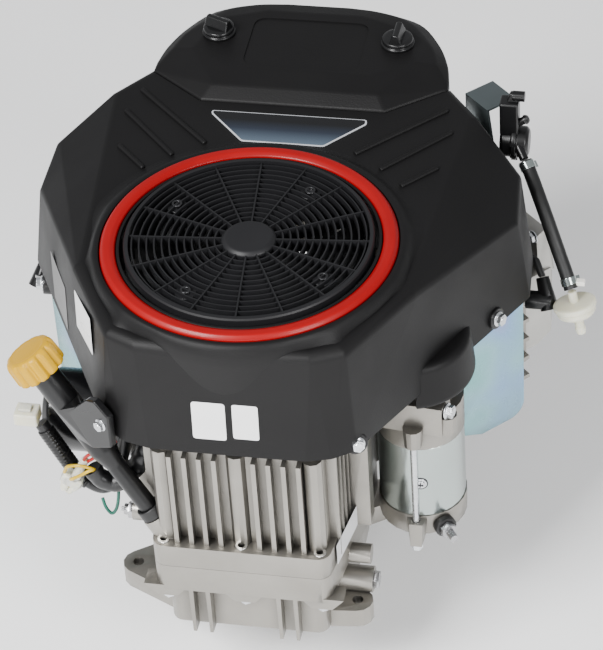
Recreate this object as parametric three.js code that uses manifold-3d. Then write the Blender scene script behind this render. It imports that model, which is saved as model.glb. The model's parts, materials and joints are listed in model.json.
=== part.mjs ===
// Vertical-shaft V-twin gasoline engine for a ride-on mower.
// Frame: origin on the crankshaft axis in the plane of the mounting feet,
// +X to the right, +Y towards the air cleaner, +Z up along the crankshaft. Millimetres.
import * as THREE from 'three';
import { mergeVertices } from 'three/addons/utils/BufferGeometryUtils.js';
import { ConvexGeometry } from 'three/addons/geometries/ConvexGeometry.js';
import Module from 'manifold-3d';

const wasm = await Module();
wasm.setup();

// ---- driving dimensions ---------------------------------------------------

const GAP = 0.3;                      // between touching pieces
const WALL = 3;                       // moulded plastic and thin castings

const BORE_R = 41;                    // 82 mm bore
const THROW = 38;                     // 76 mm stroke
const ROD_LENGTH = 120;
const CYLINDER_Z = { right: 158, left: 138 };
const CYLINDER_START = 92;            // distances along a cylinder, from the crankshaft axis
const HEAD_START = 178;
const COVER_START = 256;
const HEAD_END = 303;
const HEAD_HALF = 58;                 // half width of heads and fins

const SPLIT_Z = 85;                   // joint between crankcase and sump
const BAND_Z = 109;                   // top of the crankcase's lower flange
const CASE_TOP = 214;
const FRONT_Y = -127;                 // front face of the flange
const FLANGE_BOLT_X = [-69, 0, 69];
const FLANGE_BOLT_Y = -118;
const FOOT_HEIGHT = 20;
const FOOT_HOLE_R = 5;
const FEET = [[-111, -63], [93, -85], [111, 63], [-93, 85]];   // 203 x 152 mm, turned 6 degrees

const SHAFT_R = 12.7;                 // 1 inch output shaft
const SHAFT_BOTTOM = -80;
const GEAR_MODULE = 2.5;
const CRANK_TEETH = 16;
const CAM_TEETH = 32;
const TIMING_Z = [86, 96];            // timing gears on crankshaft and camshaft

const RING_TEETH = 90;
const PINION_TEETH = 10;
const STARTER = { x: 138.8, y: 10 };
const STARTER_DISTANCE = Math.hypot(STARTER.x, STARTER.y);
const STARTER_MODULE = 2 * STARTER_DISTANCE / (RING_TEETH + PINION_TEETH);
const RING_Z = [227, 239];
const PINION_Z = [211.5, 223.5];
const YOKE_Z = [75, 155];
const YOKE_R = 38.5;

const TOP_Z = 344;                    // flat top of the blower housing
const SCREEN_R = 106.2;
const RING_R = [113.2, 126.6];        // red trim ring, inner and outer
const LIP_R = 137;

const FILTER = { y: -8, z: 150, r: 37 };
const TUBE_FOOT = new THREE.Vector3(-78, -105, 125);     // dipstick tube, at its collar
const TUBE_TOP = new THREE.Vector3(-179.4, -88, 290.7);  // centre of the oil cap's crown
const TUBE_LENGTH = TUBE_FOOT.distanceTo(TUBE_TOP);
const TUBE_AXIS = TUBE_TOP.clone().sub(TUBE_FOOT).normalize();
const TUBE_SIDE = new THREE.Vector3(0, 1, 0).cross(TUBE_AXIS).normalize();
const TUBE_FRONT = TUBE_AXIS.clone().cross(TUBE_SIDE);

// A point at a distance along the filler tube, and at a radius and angle around it.
function aroundTube(d, r, degrees) {
  const angle = THREE.MathUtils.degToRad(degrees);
  return TUBE_FOOT.clone().addScaledVector(TUBE_AXIS, d).addScaledVector(TUBE_SIDE, r * Math.cos(angle))
    .addScaledVector(TUBE_FRONT, r * Math.sin(angle)).toArray();
}

const alongTube = (d) => aroundTube(d, 0, 0);

// ---- solid modelling helpers ------------------------------------------------

function toSolid(geometry) {
  const plain = geometry.clone();
  plain.deleteAttribute('normal');
  plain.deleteAttribute('uv');
  const merged = mergeVertices(plain, 1e-4);
  return new wasm.Manifold(new wasm.Mesh({
    numProp: 3,
    vertProperties: new Float32Array(merged.attributes.position.array),
    triVerts: new Uint32Array(merged.index.array),
  }));
}

function toGeometry(solid) {
  const mesh = solid.getMesh();
  const geometry = new THREE.BufferGeometry();
  geometry.setAttribute('position', new THREE.BufferAttribute(mesh.vertProperties, 3));
  geometry.setIndex(new THREE.BufferAttribute(mesh.triVerts, 1));
  geometry.computeVertexNormals();
  return geometry;
}

const join = (solids) => solids.reduce((a, b) => a.add(b));
const cut = (solid, tools) => tools.reduce((a, b) => a.subtract(b), solid);

// A geometry placed by position and by rotation in degrees, as a solid.
function placed(geometry, position = [0, 0, 0], turn = [0, 0, 0]) {
  const angles = turn.map(THREE.MathUtils.degToRad);
  const matrix = new THREE.Matrix4().makeRotationFromEuler(new THREE.Euler(...angles));
  matrix.setPosition(...position);
  return toSolid(geometry.clone().applyMatrix4(matrix));
}

function block([x0, x1], [y0, y1], [z0, z1]) {
  const geometry = new THREE.BoxGeometry(x1 - x0, y1 - y0, z1 - z0);
  return placed(geometry, [(x0 + x1) / 2, (y0 + y1) / 2, (z0 + z1) / 2]);
}

function upright(x, y, r, z0, z1, sides = 20, rTop = r) {
  const geometry = new THREE.CylinderGeometry(rTop, r, z1 - z0, sides);
  return placed(geometry, [x, y, (z0 + z1) / 2], [90, 0, 0]);
}

// A round bar between two points.
function bar(from, to, r, sides = 16, rEnd = r) {
  const a = new THREE.Vector3(...from);
  const b = new THREE.Vector3(...to);
  const axis = b.clone().sub(a);
  const geometry = new THREE.CylinderGeometry(rEnd, r, axis.length(), sides);
  const up = new THREE.Vector3(0, 1, 0);
  const turn = new THREE.Quaternion().setFromUnitVectors(up, axis.clone().normalize());
  const matrix = new THREE.Matrix4().compose(a.add(b).multiplyScalar(0.5), turn,
    new THREE.Vector3(1, 1, 1));
  return toSolid(geometry.applyMatrix4(matrix));
}

function prism(outline, z0, z1) {
  const shape = new THREE.Shape(outline.map(([x, y]) => new THREE.Vector2(x, y)));
  const geometry = new THREE.ExtrudeGeometry(shape, { depth: z1 - z0, bevelEnabled: false });
  return placed(geometry, [0, 0, z0]);
}

const hull = (points) => toSolid(new ConvexGeometry(points.map((p) => new THREE.Vector3(...p))));

// A profile of [radius, height] points turned about the vertical through (x, y).
function turned(profile, x = 0, y = 0, sides = 40) {
  const points = profile.map(([r, z]) => new THREE.Vector2(r, z));
  return placed(new THREE.LatheGeometry(points, sides), [x, y, 0], [90, 0, 0]);
}

function washer(rIn, rOut, z0, z1, sides = 32, x = 0, y = 0) {
  return turned([[rIn, z0], [rOut, z0], [rOut, z1], [rIn, z1], [rIn, z0]], x, y, sides);
}

// A round cord or hose along a smooth line through the points.
function tube(points, r, sides = 8, steps = 24) {
  const line = new THREE.CatmullRomCurve3(points.map((p) => new THREE.Vector3(...p)));
  const corners = arc(0, 0, r, 0, 360, sides).slice(0, sides);
  const section = new THREE.Shape(corners.map(([x, y]) => new THREE.Vector2(x, y)));
  const options = { steps, bevelEnabled: false, extrudePath: line };
  return toSolid(new THREE.ExtrudeGeometry(section, options));
}

// Points of a circle's arc, in degrees.
function arc(cx, cy, r, from, to, steps) {
  const points = [];
  for (let i = 0; i <= steps; i++) {
    const angle = THREE.MathUtils.degToRad(from + (to - from) * i / steps);
    points.push([cx + r * Math.cos(angle), cy + r * Math.sin(angle)]);
  }
  return points;
}

// A spur gear's outline with pointed roots; turn is a share of one tooth.
function gearOutline(x, y, teeth, module, turn) {
  const pitch = teeth * module / 2;
  const points = [];
  const corners = [[-0.03, pitch + 0.75 * module], [0.03, pitch + 0.75 * module],
    [0.5, pitch - 1.25 * module]];
  for (let i = 0; i < teeth; i++) {
    for (const [share, r] of corners) {
      const angle = 2 * Math.PI * (i + share + turn) / teeth;
      points.push([x + r * Math.cos(angle), y + r * Math.sin(angle)]);
    }
  }
  return points;
}

// A point beside a bank: s along the cylinder, d towards the rear.
const besideBank = (sign, s, d, z) => [sign * (s - d) * Math.SQRT1_2, (s + d) * Math.SQRT1_2, z];

const mirrored = (points) => points.map(([x, ...rest]) => [-x, ...rest]);
const turnedBy = (degrees, x, y = 0) => {
  const angle = THREE.MathUtils.degToRad(degrees);
  return [x * Math.cos(angle) - y * Math.sin(angle), x * Math.sin(angle) + y * Math.cos(angle)];
};

// ---- materials ----------------------------------------------------------------

const finish = (color, roughness, metalness) => new THREE.MeshStandardMaterial({ color, roughness,
  metalness });
const castAluminium = () => finish(0xb4b0a8, 0.5, 0.85);
const blackPlastic = () => finish(0x1d1d1f, 0.45, 0);
const zincPlate = () => finish(0xb9cbd2, 0.28, 0.9);
const steel = () => finish(0x8d9094, 0.35, 0.95);
const blackRubber = () => finish(0x141414, 0.7, 0);
const redPlastic = () => finish(0xd8121c, 0.25, 0);
const yellowPlastic = () => finish(0xf7c815, 0.35, 0);
const whitePlastic = () => finish(0xe9e4d4, 0.45, 0);
const filterPaper = () => finish(0xd9c9a0, 0.9, 0);

const engine = new THREE.Group();

function add(name, solid, material, parent = engine) {
  const mesh = new THREE.Mesh(toGeometry(solid), material);
  mesh.name = name;
  parent.add(mesh);
  return mesh;
}

// ---- crankcase and sump -------------------------------------------------------------

// Right half of the crankcase's outline above its flange, front to back.
const CASE_HALF = [[66, -112], [74, -104], [84, -56], [103, -56], [103, -38], [95, -22], [95, 24.7],
  [100.4, 29.7], [29.7, 100.4], [18, 108]];
const caseOutline = [...CASE_HALF, ...mirrored(CASE_HALF).reverse()];

// Right half of the outline of the flange where crankcase and sump meet.
const FLANGE_HALF = [[64, FRONT_Y], ...arc(67, FRONT_Y + 12, 12, -75, 0, 4), [87, -60], [95, -22], [95, 24],
  [79, 50], [50, 79], [18, 108]];
const flangeOutline = [...FLANGE_HALF, ...mirrored(FLANGE_HALF).reverse()];

const CAM = { x: 0, y: GEAR_MODULE * (CRANK_TEETH + CAM_TEETH) / 2 };

function ribs() {
  const found = [];
  for (const side of [-1, 1]) {
    for (let i = 0; i < 4; i++) {
      const x = side * (17 + 13 * i);
      found.push(block([x - 2, x + 2], [-122, -108], [SPLIT_Z + 4, CASE_TOP - 2]));
    }
    for (let i = 0; i < 4; i++) {
      const y = -96 + 11 * i;
      found.push(block(side > 0 ? [70, 84 + i] : [-84 - i, -70], [y - 2, y + 2],
        [SPLIT_Z + 4, CASE_TOP - 2]));
    }
  }
  return found;
}

const SWITCH = { x: -106, y: -75, z: 98 };            // oil pressure switch, on the left wall

function crankcase() {
  const body = prism(caseOutline, SPLIT_Z + GAP / 2, CASE_TOP);
  const flange = prism(flangeOutline, SPLIT_Z + GAP / 2, BAND_Z);
  const columns = FLANGE_BOLT_X.map((x) => upright(x * 0.95, -109, 9, BAND_Z - 2, CASE_TOP - 2, 10));
  const seat = upright(0, 0, 34, CASE_TOP - 1, 220, 24);
  const tubeBoss = bar(alongTube(-30), alongTube(0), 12, 14);
  const switchBoss = bar([-70, SWITCH.y, SWITCH.z], [SWITCH.x + GAP, SWITCH.y, SWITCH.z], 9, 14);
  const filterPad = bar([-88, FILTER.y, FILTER.z], [-104, FILTER.y, FILTER.z], 22, 16);
  const tubeRoom = bar(alongTube(0), alongTube(80), 12.5, 14);
  const frame = cut(join([body, flange, seat, ...columns, ...ribs()]), [tubeRoom]);
  const whole = join([frame, tubeBoss, switchBoss, filterPad]);
  const crankRoom = upright(0, 0, 64, SPLIT_Z - 1, 196, 20);
  const camRoom = upright(CAM.x, CAM.y, 43, SPLIT_Z - 1, 132, 20);
  const bearing = upright(0, 0, 20.3, 190, 221, 24);
  const bores = [['right', 45], ['left', 135]].map(([side, angle]) => {
    const [x, y] = turnedBy(angle, CYLINDER_START + 20);
    return bar([0, 0, CYLINDER_Z[side]], [x, y, CYLINDER_Z[side]], BORE_R + 2, 16);
  });
  const threads = FLANGE_BOLT_X.map((x) => upright(x, FLANGE_BOLT_Y, 3, SPLIT_Z - 1, BAND_Z + 1, 8));
  const dipHole = bar(alongTube(-46), alongTube(1), 9, 16);
  return cut(whole, [crankRoom, camRoom, bearing, dipHole, ...bores, ...threads]);
}

const DRAIN_Z = 28;
const FRONT_ROOT = { x: 62, y: -102 };                // where the front feet run into the bowl

function foot([x, y]) {
  const inward = 0.62;
  const outline = arc(x, y, 14, 0, 360, 12).slice(0, 12);
  const low = outline.map(([px, py]) => [px, py, 0]);
  const high = outline.map(([px, py]) => [px, py, FOOT_HEIGHT]);
  const root = [[x * inward - 16, y * inward], [x * inward + 16, y * inward], [x * inward, y * inward - 22],
    [x * inward, y * inward + 22], ...(y < 0 ? [[Math.sign(x) * FRONT_ROOT.x, FRONT_ROOT.y]] : [])];
  const rootPoints = root.flatMap(([px, py]) => [[px, py, 0], [px, py, FOOT_HEIGHT]]);
  return hull([...low, ...high, ...rootPoints]);
}

function sump() {
  const flange = prism(flangeOutline, 56, SPLIT_Z - GAP / 2);
  const inset = flangeOutline.map(([x, y]) => [x * 0.9, y * 0.9]);
  const bowl = prism(inset, 4, 58);
  const feet = FEET.map(foot);
  const lugs = FLANGE_BOLT_X.map((x) => hull([-1, 1].flatMap((side) => [
    [x + 20 * side, FRONT_Y + 0.5, 60], [x + 20 * side, -108, 60], [x + 9 * side, FRONT_Y + 2, 46],
    [x + 9 * side, -110, 46]])));
  const fins = [-47, -32, 31, 46].map((x) => hull([
    [x - 2, -100, 58], [x + 2, -100, 58], [x - 2, FRONT_Y, 58], [x + 2, FRONT_Y, 58],
    [x - 1.5, FRONT_Y + 1, 4], [x + 1.5, FRONT_Y + 1, 4], [x - 2, -100, 2], [x + 2, -100, 2]]));
  const drainBoss = bar([60, -66, DRAIN_Z], [105, -66, DRAIN_Z], 12, 14);
  const galleryBoss = bar([70, -66, 60], [104, -66, 60], 9, 14);
  const sealSeat = upright(0, 0, 30, 0, 10, 20);
  const whole = join([flange, bowl, sealSeat, drainBoss, galleryBoss, ...feet, ...lugs, ...fins]);
  const room = prism(flangeOutline.map(([x, y]) => [x * 0.82, y * 0.82]), 12, SPLIT_Z + 1);
  const shaftHole = upright(0, 0, 20.3, -1, 14, 24);
  const drainHole = bar([95, -66, DRAIN_Z], [106, -66, DRAIN_Z], 6.3, 12);
  const footHoles = FEET.map(([x, y]) => upright(x, y, FOOT_HOLE_R, -1, FOOT_HEIGHT + 1, 14));
  const boltHoles = FLANGE_BOLT_X.map((x) => upright(x, FLANGE_BOLT_Y, 3.3, 45, SPLIT_Z + 1, 8));
  return cut(whole, [room, shaftHole, drainHole, ...footHoles, ...boltHoles]);
}

function pressureSwitch() {
  const at = (x) => [x, SWITCH.y, SWITCH.z];
  return join([bar(at(SWITCH.x), at(SWITCH.x - 4), 8, 6), bar(at(SWITCH.x - 3), at(SWITCH.x - 8), 5, 14),
    bar(at(SWITCH.x - 7), at(SWITCH.x - 11), 2, 8)]);
}

add('crankcase', crankcase(), castAluminium());
add('oil_pressure_switch', pressureSwitch(), zincPlate());
add('sump', sump(), castAluminium());
add('drain_plug', join([bar([97, -66, DRAIN_Z], [105.3, -66, DRAIN_Z], 5.9, 16),
  bar([105.3, -66, DRAIN_Z], [110, -66, DRAIN_Z], 8, 6)]), steel());

// ---- crankshaft, camshaft and pistons --------------------------------------------------

function crankshaft() {
  const [pinX, pinY] = turnedBy(45, THROW);
  const shaft = [
    upright(0, 0, SHAFT_R, SHAFT_BOTTOM, 1, 20),
    upright(0, 0, 20, 0, TIMING_Z[0] - 2, 24),
    upright(0, 0, 14, TIMING_Z[0] - 3, 122, 16),
    upright(0, 0, 20, 176, 222, 24),
    upright(0, 0, 14, 221, 262, 16, 13),
    upright(0, 0, 10, 261, 276, 10),
  ];
  const pin = upright(pinX, pinY, 17, 118, 180, 14);
  const webs = [[116, 127], [169, 180]].map(([z0, z1]) => hull([
    ...arc(pinX, pinY, 22, -80, 170, 5).flatMap(([x, y]) => [[x, y, z0], [x, y, z1]]),
    ...arc(0, 0, 58, 165, 285, 6).flatMap(([x, y]) => [[x, y, z0], [x, y, z1]]),
  ]));
  const gear = prism(gearOutline(0, 0, CRANK_TEETH, GEAR_MODULE, 0.5), ...TIMING_Z);
  const key = block([-2.4, 2.4], [8, 14], [SHAFT_BOTTOM - 1, SHAFT_BOTTOM + 36]);
  return cut(join([...shaft, pin, ...webs, gear]), [key]);
}

function camshaft() {
  const shaft = upright(CAM.x, CAM.y, 8, 16, 110, 12);
  const gear = prism(gearOutline(CAM.x, CAM.y, CAM_TEETH, GEAR_MODULE, 0), ...TIMING_Z);
  const lobes = [[28, 38], [46, 56], [64, 74]].map(([z0, z1], i) => {
    const [dx, dy] = turnedBy(120 * i, 5);
    return upright(CAM.x + dx, CAM.y + dy, 13, z0, z1, 12);
  });
  return join([shaft, gear, ...lobes]);
}

add('crankshaft', crankshaft(), steel());
add('camshaft', camshaft(), steel());

// ---- cylinders, heads and what is fixed to them -----------------------------------------
// Each bank is built with +X along its cylinder, then turned about the crankshaft axis.
// front is the sign of the bank's own Y on its front side.

function finStack(xs, thickness, half, front, clearance) {
  return xs.map((x) => {
    const y = front < 0 ? [-clearance, half] : [-half, clearance];
    return block([x - thickness / 2, x + thickness / 2], y, [-half, half]);
  });
}

function cylinderBarrel(front) {
  const length = HEAD_START - GAP - CYLINDER_START - GAP;
  const start = CYLINDER_START + GAP;
  const barrel = bar([start, 0, 0], [start + length, 0, 0], BORE_R + 7, 16);
  const base = block([start, start + 8], [-40, 40], [-56, 54]);
  const deck = block([start + length - 8, start + length], [-50, 50], [-52, 52]);
  const fins = finStack([116, 130, 144, 158], 3.5, HEAD_HALF - 2, front, 50);
  const bore = bar([start - 1, 0, 0], [start + length + 1, 0, 0], BORE_R + 1, 16);
  return cut(join([barrel, base, deck, ...fins]), [bore]);
}

function cylinderHead(front) {
  const core = block([HEAD_START, COVER_START - GAP], [-48, 48], [-48, 48]);
  const fins = [];
  for (let z = -HEAD_HALF + 2; z <= HEAD_HALF - 2; z += 22.4) {
    fins.push(block([HEAD_START, COVER_START - GAP - 4], [-HEAD_HALF, HEAD_HALF], [z - 2.2, z + 2.2]));
  }
  const stem = block([200, 212], [-HEAD_HALF + 1, HEAD_HALF - 1], [-HEAD_HALF + 1, HEAD_HALF - 1]);
  const chamber = bar([HEAD_START - 1, 0, 0], [HEAD_START + 10, 0, 0], BORE_R - 2, 16);
  const pocket = bar(alongPlug(front, 13), alongPlug(front, 60), 14, 12);
  const plugHole = bar(alongPlug(front, -1), alongPlug(front, 14), 7.4, 12);
  return cut(join([core, stem, ...fins]), [chamber, pocket, plugHole]);
}

// The cover's outer part rises beside the blower housing.
function rockerCover() {
  const x0 = COVER_START;
  const profile = [[x0, 38], [x0 + 20, 38], [HEAD_END - 8, 34], [HEAD_END, 26]];
  const points = profile.flatMap(([x, h]) => [[x, h, h], [x, -h, h], [x, h, -h - 8], [x, -h, -h - 8]]);
  const tall = [[282, 33, 30], [HEAD_END - 3, 33, 30], [282, 30, 74], [HEAD_END - 9, 30, 78],
    [HEAD_END - 3, 28, 66]];
  const flange = block([x0, x0 + 5], [-42, 42], [-50, 42]);
  const room = block([x0 - 1, HEAD_END - 14], [-28, 28], [-28, 28]);
  return cut(join([hull(points), hull(tall.flatMap(([x, y, z]) => [[x, y, z], [x, -y, z]])), flange]),
    [room]);
}

function baffle(front) {
  const y = front * 75;
  const t = 1.5;
  const face = front < 0 ? [y, y + t] : [y - t, y];
  const outline = [[160, -67], [184, -78], ...arc(216, -62, 16, -90, 0, 6), [232, 60], [160, 60]];
  const shape = new THREE.Shape(outline.map(([x, z]) => new THREE.Vector2(x, z)));
  const plate = new THREE.ExtrudeGeometry(shape, { depth: t, bevelEnabled: false });
  const sheet = placed(plate, [0, face[1], 0], [90, 0, 0]);
  const lip = block([159, 160.5], front < 0 ? [y, y + 10] : [y - 10, y], [-60, 60]);
  const hem = block([186, 214], front < 0 ? [y, y + 14] : [y - 14, y], [-78, -76.5]);
  return join([sheet, lip, hem]);
}

// The plug enters the outer front corner of the head at 45 degrees to the cylinder.
const PLUG_FOOT = [238, 40];
const PLUG_RISE = 33;

function alongPlug(front, d, rise = 0) {
  return [PLUG_FOOT[0] + d * Math.SQRT1_2, front * (PLUG_FOOT[1] + d * Math.SQRT1_2), PLUG_RISE + rise];
}

// The boot's elbow and the lead in it rise from the boot and lean towards the rear.
const LEAD_START = 22;

function leadAt(front, d) {
  const [x, y, z] = alongPlug(front, 39);
  return [x + 0.18 * d, y - front * 0.6 * d, z + 0.78 * d];
}

function sparkPlug(front) {
  const at = (d) => alongPlug(front, d);
  return join([bar(at(0), at(13.5), 6.8, 12), bar(at(13), at(19), 8, 6), bar(at(18), at(31), 4.4, 10)]);
}

function plugBoot(front) {
  const at = (d, rise) => alongPlug(front, d, rise);
  const sleeve = bar(at(19.5), at(42), 8.5, 14);
  const elbow = bar(leadAt(front, -8), leadAt(front, LEAD_START - GAP), 8.5, 14, 6);
  const socket = bar(at(19), at(32), 5.1, 10);
  return cut(join([sleeve, elbow]), [socket]);
}

function piston() {
  const body = bar([-20, 0, 0], [18, 0, 0], BORE_R - 0.3, 16);
  const skirtRoom = bar([-21, 0, 0], [11, 0, 0], BORE_R - 6, 14);
  const pin = bar([0, -BORE_R + 3, 0], [0, BORE_R - 3, 0], 9, 10);
  return join([cut(body, [skirtRoom]), pin]);
}

for (const [side, angle, front] of [['right', 45, -1], ['left', 135, 1]]) {
  const bank = new THREE.Group();
  bank.rotation.z = THREE.MathUtils.degToRad(angle);
  bank.position.z = CYLINDER_Z[side];
  engine.add(bank);
  add(`cylinder_${side}`, cylinderBarrel(front), castAluminium(), bank);
  add(`head_${side}`, cylinderHead(front), castAluminium(), bank);
  add(`rocker_cover_${side}`, rockerCover(), castAluminium(), bank);
  add(`baffle_${side}`, baffle(front), zincPlate(), bank);
  add(`spark_plug_${side}`, sparkPlug(front), steel(), bank);
  add(`plug_boot_${side}`, plugBoot(front), blackRubber(), bank);
  const pistonMesh = add(`piston_${side}`, piston(), castAluminium(), bank);
  const lean = Math.sqrt(ROD_LENGTH ** 2 - THROW ** 2);
  pistonMesh.position.x = side === 'right' ? ROD_LENGTH + THROW : lean;
}

// ---- flywheel, ring gear, fan and screen ---------------------------------------------------

function flywheel() {
  const disc = turned([[0, 226], [117.7, 226], [117.7, 246], [106, 246], [100, 238], [40, 238], [32, 262],
    [0, 262]],
    0, 0, 36);
  return cut(disc, [upright(0, 0, 14.6, 225, 263, 16)]);
}

function ringGear() {
  const teeth = prism(gearOutline(0, 0, RING_TEETH, STARTER_MODULE, 0), ...RING_Z);
  return cut(teeth, [upright(0, 0, 118.6, RING_Z[0] - 1, RING_Z[1] + 1, 36)]);
}

const BLADES = 16;
const SCREEN_PADS = [60.3, 150.3, 240.3, 330.3];      // degrees
const PAD_R = 81;

function coolingFan() {
  const plate = washer(40, 112, 246.3, 251, 28);
  const blades = [];
  for (let i = 0; i < BLADES; i++) {
    const angle = 360 * i / BLADES;
    const [x0, y0] = turnedBy(angle, 58);
    const [x1, y1] = turnedBy(angle + 14, 106);
    const [nx, ny] = turnedBy(angle + 100, 1.6);
    blades.push(prism([[x0 - nx, y0 - ny], [x1 - nx, y1 - ny], [x1 + nx, y1 + ny], [x0 + nx, y0 + ny]],
      250, 336));
  }
  const posts = SCREEN_PADS.map((angle) => upright(...turnedBy(angle, PAD_R), 5, 250, 347.7, 8));
  return join([plate, ...blades, ...posts]);
}

function fanScreen() {
  const hub = upright(0, 0, 23.5, 350, 360, 20);
  const rim = washer(SCREEN_R - 5, SCREEN_R, 350, 360, 32);
  const ring = washer(72, 75, 351, 357, 32);
  const vanes = [];
  for (let i = 0; i < BLADES; i++) {
    const angle = 360 * i / BLADES + 4.6;
    const [x, y] = turnedBy(angle, 1);
    const at = (r, w, z) => [x * r - y * w, y * r + x * w, z];
    vanes.push(hull([350, 359].flatMap((z) => [at(20, 1, z), at(20, -1, z), at(103, 1.3, z),
      at(103, -1.3, z)])));
  }
  const pads = SCREEN_PADS.map((angle) => upright(...turnedBy(angle, PAD_R), 9, 348, 354, 10));
  return join([hub, rim, ring, ...vanes, ...pads]);
}

add('flywheel', flywheel(), castAluminium());
add('ring_gear', ringGear(), steel());
add('cooling_fan', coolingFan(), blackPlastic());
add('fan_screen', fanScreen(), blackPlastic());

// ---- blower housing and trim ring -------------------------------------------------------------

const HOUSING_BOTTOM = 236;           // lower edge at the front; the sides reach lower
const SIDE_BOTTOM = 224;
const HOUSING_CENTRE_Y = 50;

// A point in plan moved towards the housing's centre.
function inwards(x, y, inset) {
  const share = 1 - inset / Math.hypot(x, y - HOUSING_CENTRE_Y);
  return [x * share, HOUSING_CENTRE_Y + (y - HOUSING_CENTRE_Y) * share];
}

const LOWER_HALF = [[33, -137.5], [66, -137.5], [88, -133], [107, -121], [224, 105], [220, 160], [172, 222],
  [142, 250]];

// The corners of the housing's outer face, moved inwards.
function housingCorners(inset) {
  const half = [
    [33, -130, TOP_Z], [74, -127, TOP_Z], [101, -115, TOP_Z], [147.4, -33.5, TOP_Z], [164.5, 204, TOP_Z],
    [132, 250, TOP_Z], [214, 109, 304], [210, 162.5, 315.5],
    ...LOWER_HALF.map(([x, y]) => [x, y, HOUSING_BOTTOM]),
  ];
  return [...half, ...mirrored(half)].map(([x, y, z]) =>
    [...inwards(x, y, inset), z > HOUSING_BOTTOM ? z - inset : z]);
}

const BULGE = { x: 131.5, y: 12, rTop: 52.5, rBottom: 57, top: 258 };
const lowerOutline = (inset) => [...LOWER_HALF, ...mirrored(LOWER_HALF).reverse()].map(([x, y]) =>
  inwards(x, y, inset));

const COVER_HALF = [[83, 203.6], [134, 240], [134, 251], [126, 276], [118, 305], [98, 334], [60, 348]];
const coverOutline = [...COVER_HALF, ...mirrored(COVER_HALF).reverse()];
const COVER_BOTTOM = 336.3;

function scaledOutline(outline, dx, dy) {
  const cy = 275;
  return outline.map(([x, y]) => [x * (1 + dx / 134), cy + (y - cy) * (1 + dy / 72)]);
}

function blowerHousing() {
  const skirt = cut(prism(lowerOutline(0), SIDE_BOTTOM, HOUSING_BOTTOM), [
    hull([[-260, -160, HOUSING_BOTTOM], [260, -160, HOUSING_BOTTOM], [-260, -100, HOUSING_BOTTOM],
      [260, -100, HOUSING_BOTTOM], [-260, -160, SIDE_BOTTOM - 9], [260, -160, SIDE_BOTTOM - 9],
      [-260, -75, SIDE_BOTTOM - 9], [260, -75, SIDE_BOTTOM - 9]]),
    block([-260, 260], [200, 300], [SIDE_BOTTOM - 1, HOUSING_BOTTOM])]);
  const outer = join([hull(housingCorners(0)), skirt]);
  const bulge = upright(BULGE.x, BULGE.y, BULGE.rBottom, SIDE_BOTTOM - 9, BULGE.top, 20, BULGE.rTop);
  const lip = turned([[109.5, TOP_Z - 2], [LIP_R, TOP_Z - 2], [LIP_R, TOP_Z - 1], [130, 354.5],
    [127.2, 353],
    [127.2, TOP_Z - 1], [112.8, TOP_Z - 1], [112.8, 355], [109.5, 355], [109.5, TOP_Z - 2]], 0, 0, 32);
  const labelPlate = prism([[-69, 188.7], [69, 188.7], [35.4, 154], [-35.4, 154]], TOP_Z - 1, TOP_Z + 0.8);
  const strips = [[[66.5, 139], [139, 210]], [[92, 119.5], [147, 178.5]], [[113.5, 99], [142, 128]]];
  const raised = strips.flatMap(([a, b]) => [1, -1].map((side) =>
    bar([side * a[0], a[1], TOP_Z], [side * b[0], b[1], TOP_Z], 3, 4)));
  const inner = join([hull(housingCorners(WALL)), prism(lowerOutline(WALL), SIDE_BOTTOM - 20,
    HOUSING_BOTTOM)]);
  const innerBulge = upright(BULGE.x, BULGE.y, BULGE.rBottom - WALL, SIDE_BOTTOM - 10, BULGE.top - WALL, 20,
    BULGE.rTop - WALL);
  const opening = upright(0, 0, 112, 330, 350, 32);
  const coverSeat = prism(scaledOutline(coverOutline, 1, 1), COVER_BOTTOM - 1, 380);
  const boxRoom = prism(scaledOutline(coverOutline, -7, -7), 288, 345);
  const shell = cut(join([outer, bulge]), [inner, innerBulge, coverSeat, boxRoom, opening]);
  return join([shell, lip, labelPlate, ...raised]);
}

add('blower_housing', blowerHousing(), blackPlastic());
add('trim_ring', turned([[RING_R[0], 344.5], [RING_R[1], 344.5], [RING_R[1], 354.5], [124, 358], [118, 358],
  [RING_R[0], 356], [RING_R[0], 344.5]], 0, 0, 32), redPlastic());

// ---- air cleaner and carburettor ----------------------------------------------------------------

const CARB_Y = 220;

function airCleanerBase() {
  const tray = prism(scaledOutline(coverOutline, -9, -9), 290, COVER_BOTTOM - GAP);
  const room = prism(scaledOutline(coverOutline, -13, -13), 294, COVER_BOTTOM + 1);
  const neck = upright(0, CARB_Y, 24, 282, 292, 16);
  const hole = upright(0, CARB_Y, 19, 281, 295, 16);
  return cut(join([tray, neck]), [room, hole]);
}

function airCleanerCover() {
  const bottom = coverOutline.map(([x, y]) => [x, y, COVER_BOTTOM]);
  const shoulder = coverOutline.map(([x, y]) => [x, y, 339]);
  const topHalf = [[75, 214], [121, 262], [119.7, 268], [104, 302], [86, 327], [50, 337], [0, 340]];
  const top = [...topHalf, ...mirrored(topHalf)].map(([x, y]) => [x, y, 353]);
  const crown = [[62, 240], [100, 262], [84, 310], [40, 322]];
  const high = [...crown, ...mirrored(crown)].map(([x, y]) => [x, y, 357]);
  const outer = hull([...bottom, ...shoulder, ...top, ...high]);
  const room = prism(scaledOutline(coverOutline, -12, -12), COVER_BOTTOM - 1, 350);
  const recess = prism([[-52.5, 244], [-48, 240], [48, 240], [52.5, 244], [52.5, 309], [48, 313],
    [-48, 313],
    [-52.5, 309]], 353.5, 360);
  return cut(outer, [room, recess]);
}

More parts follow.
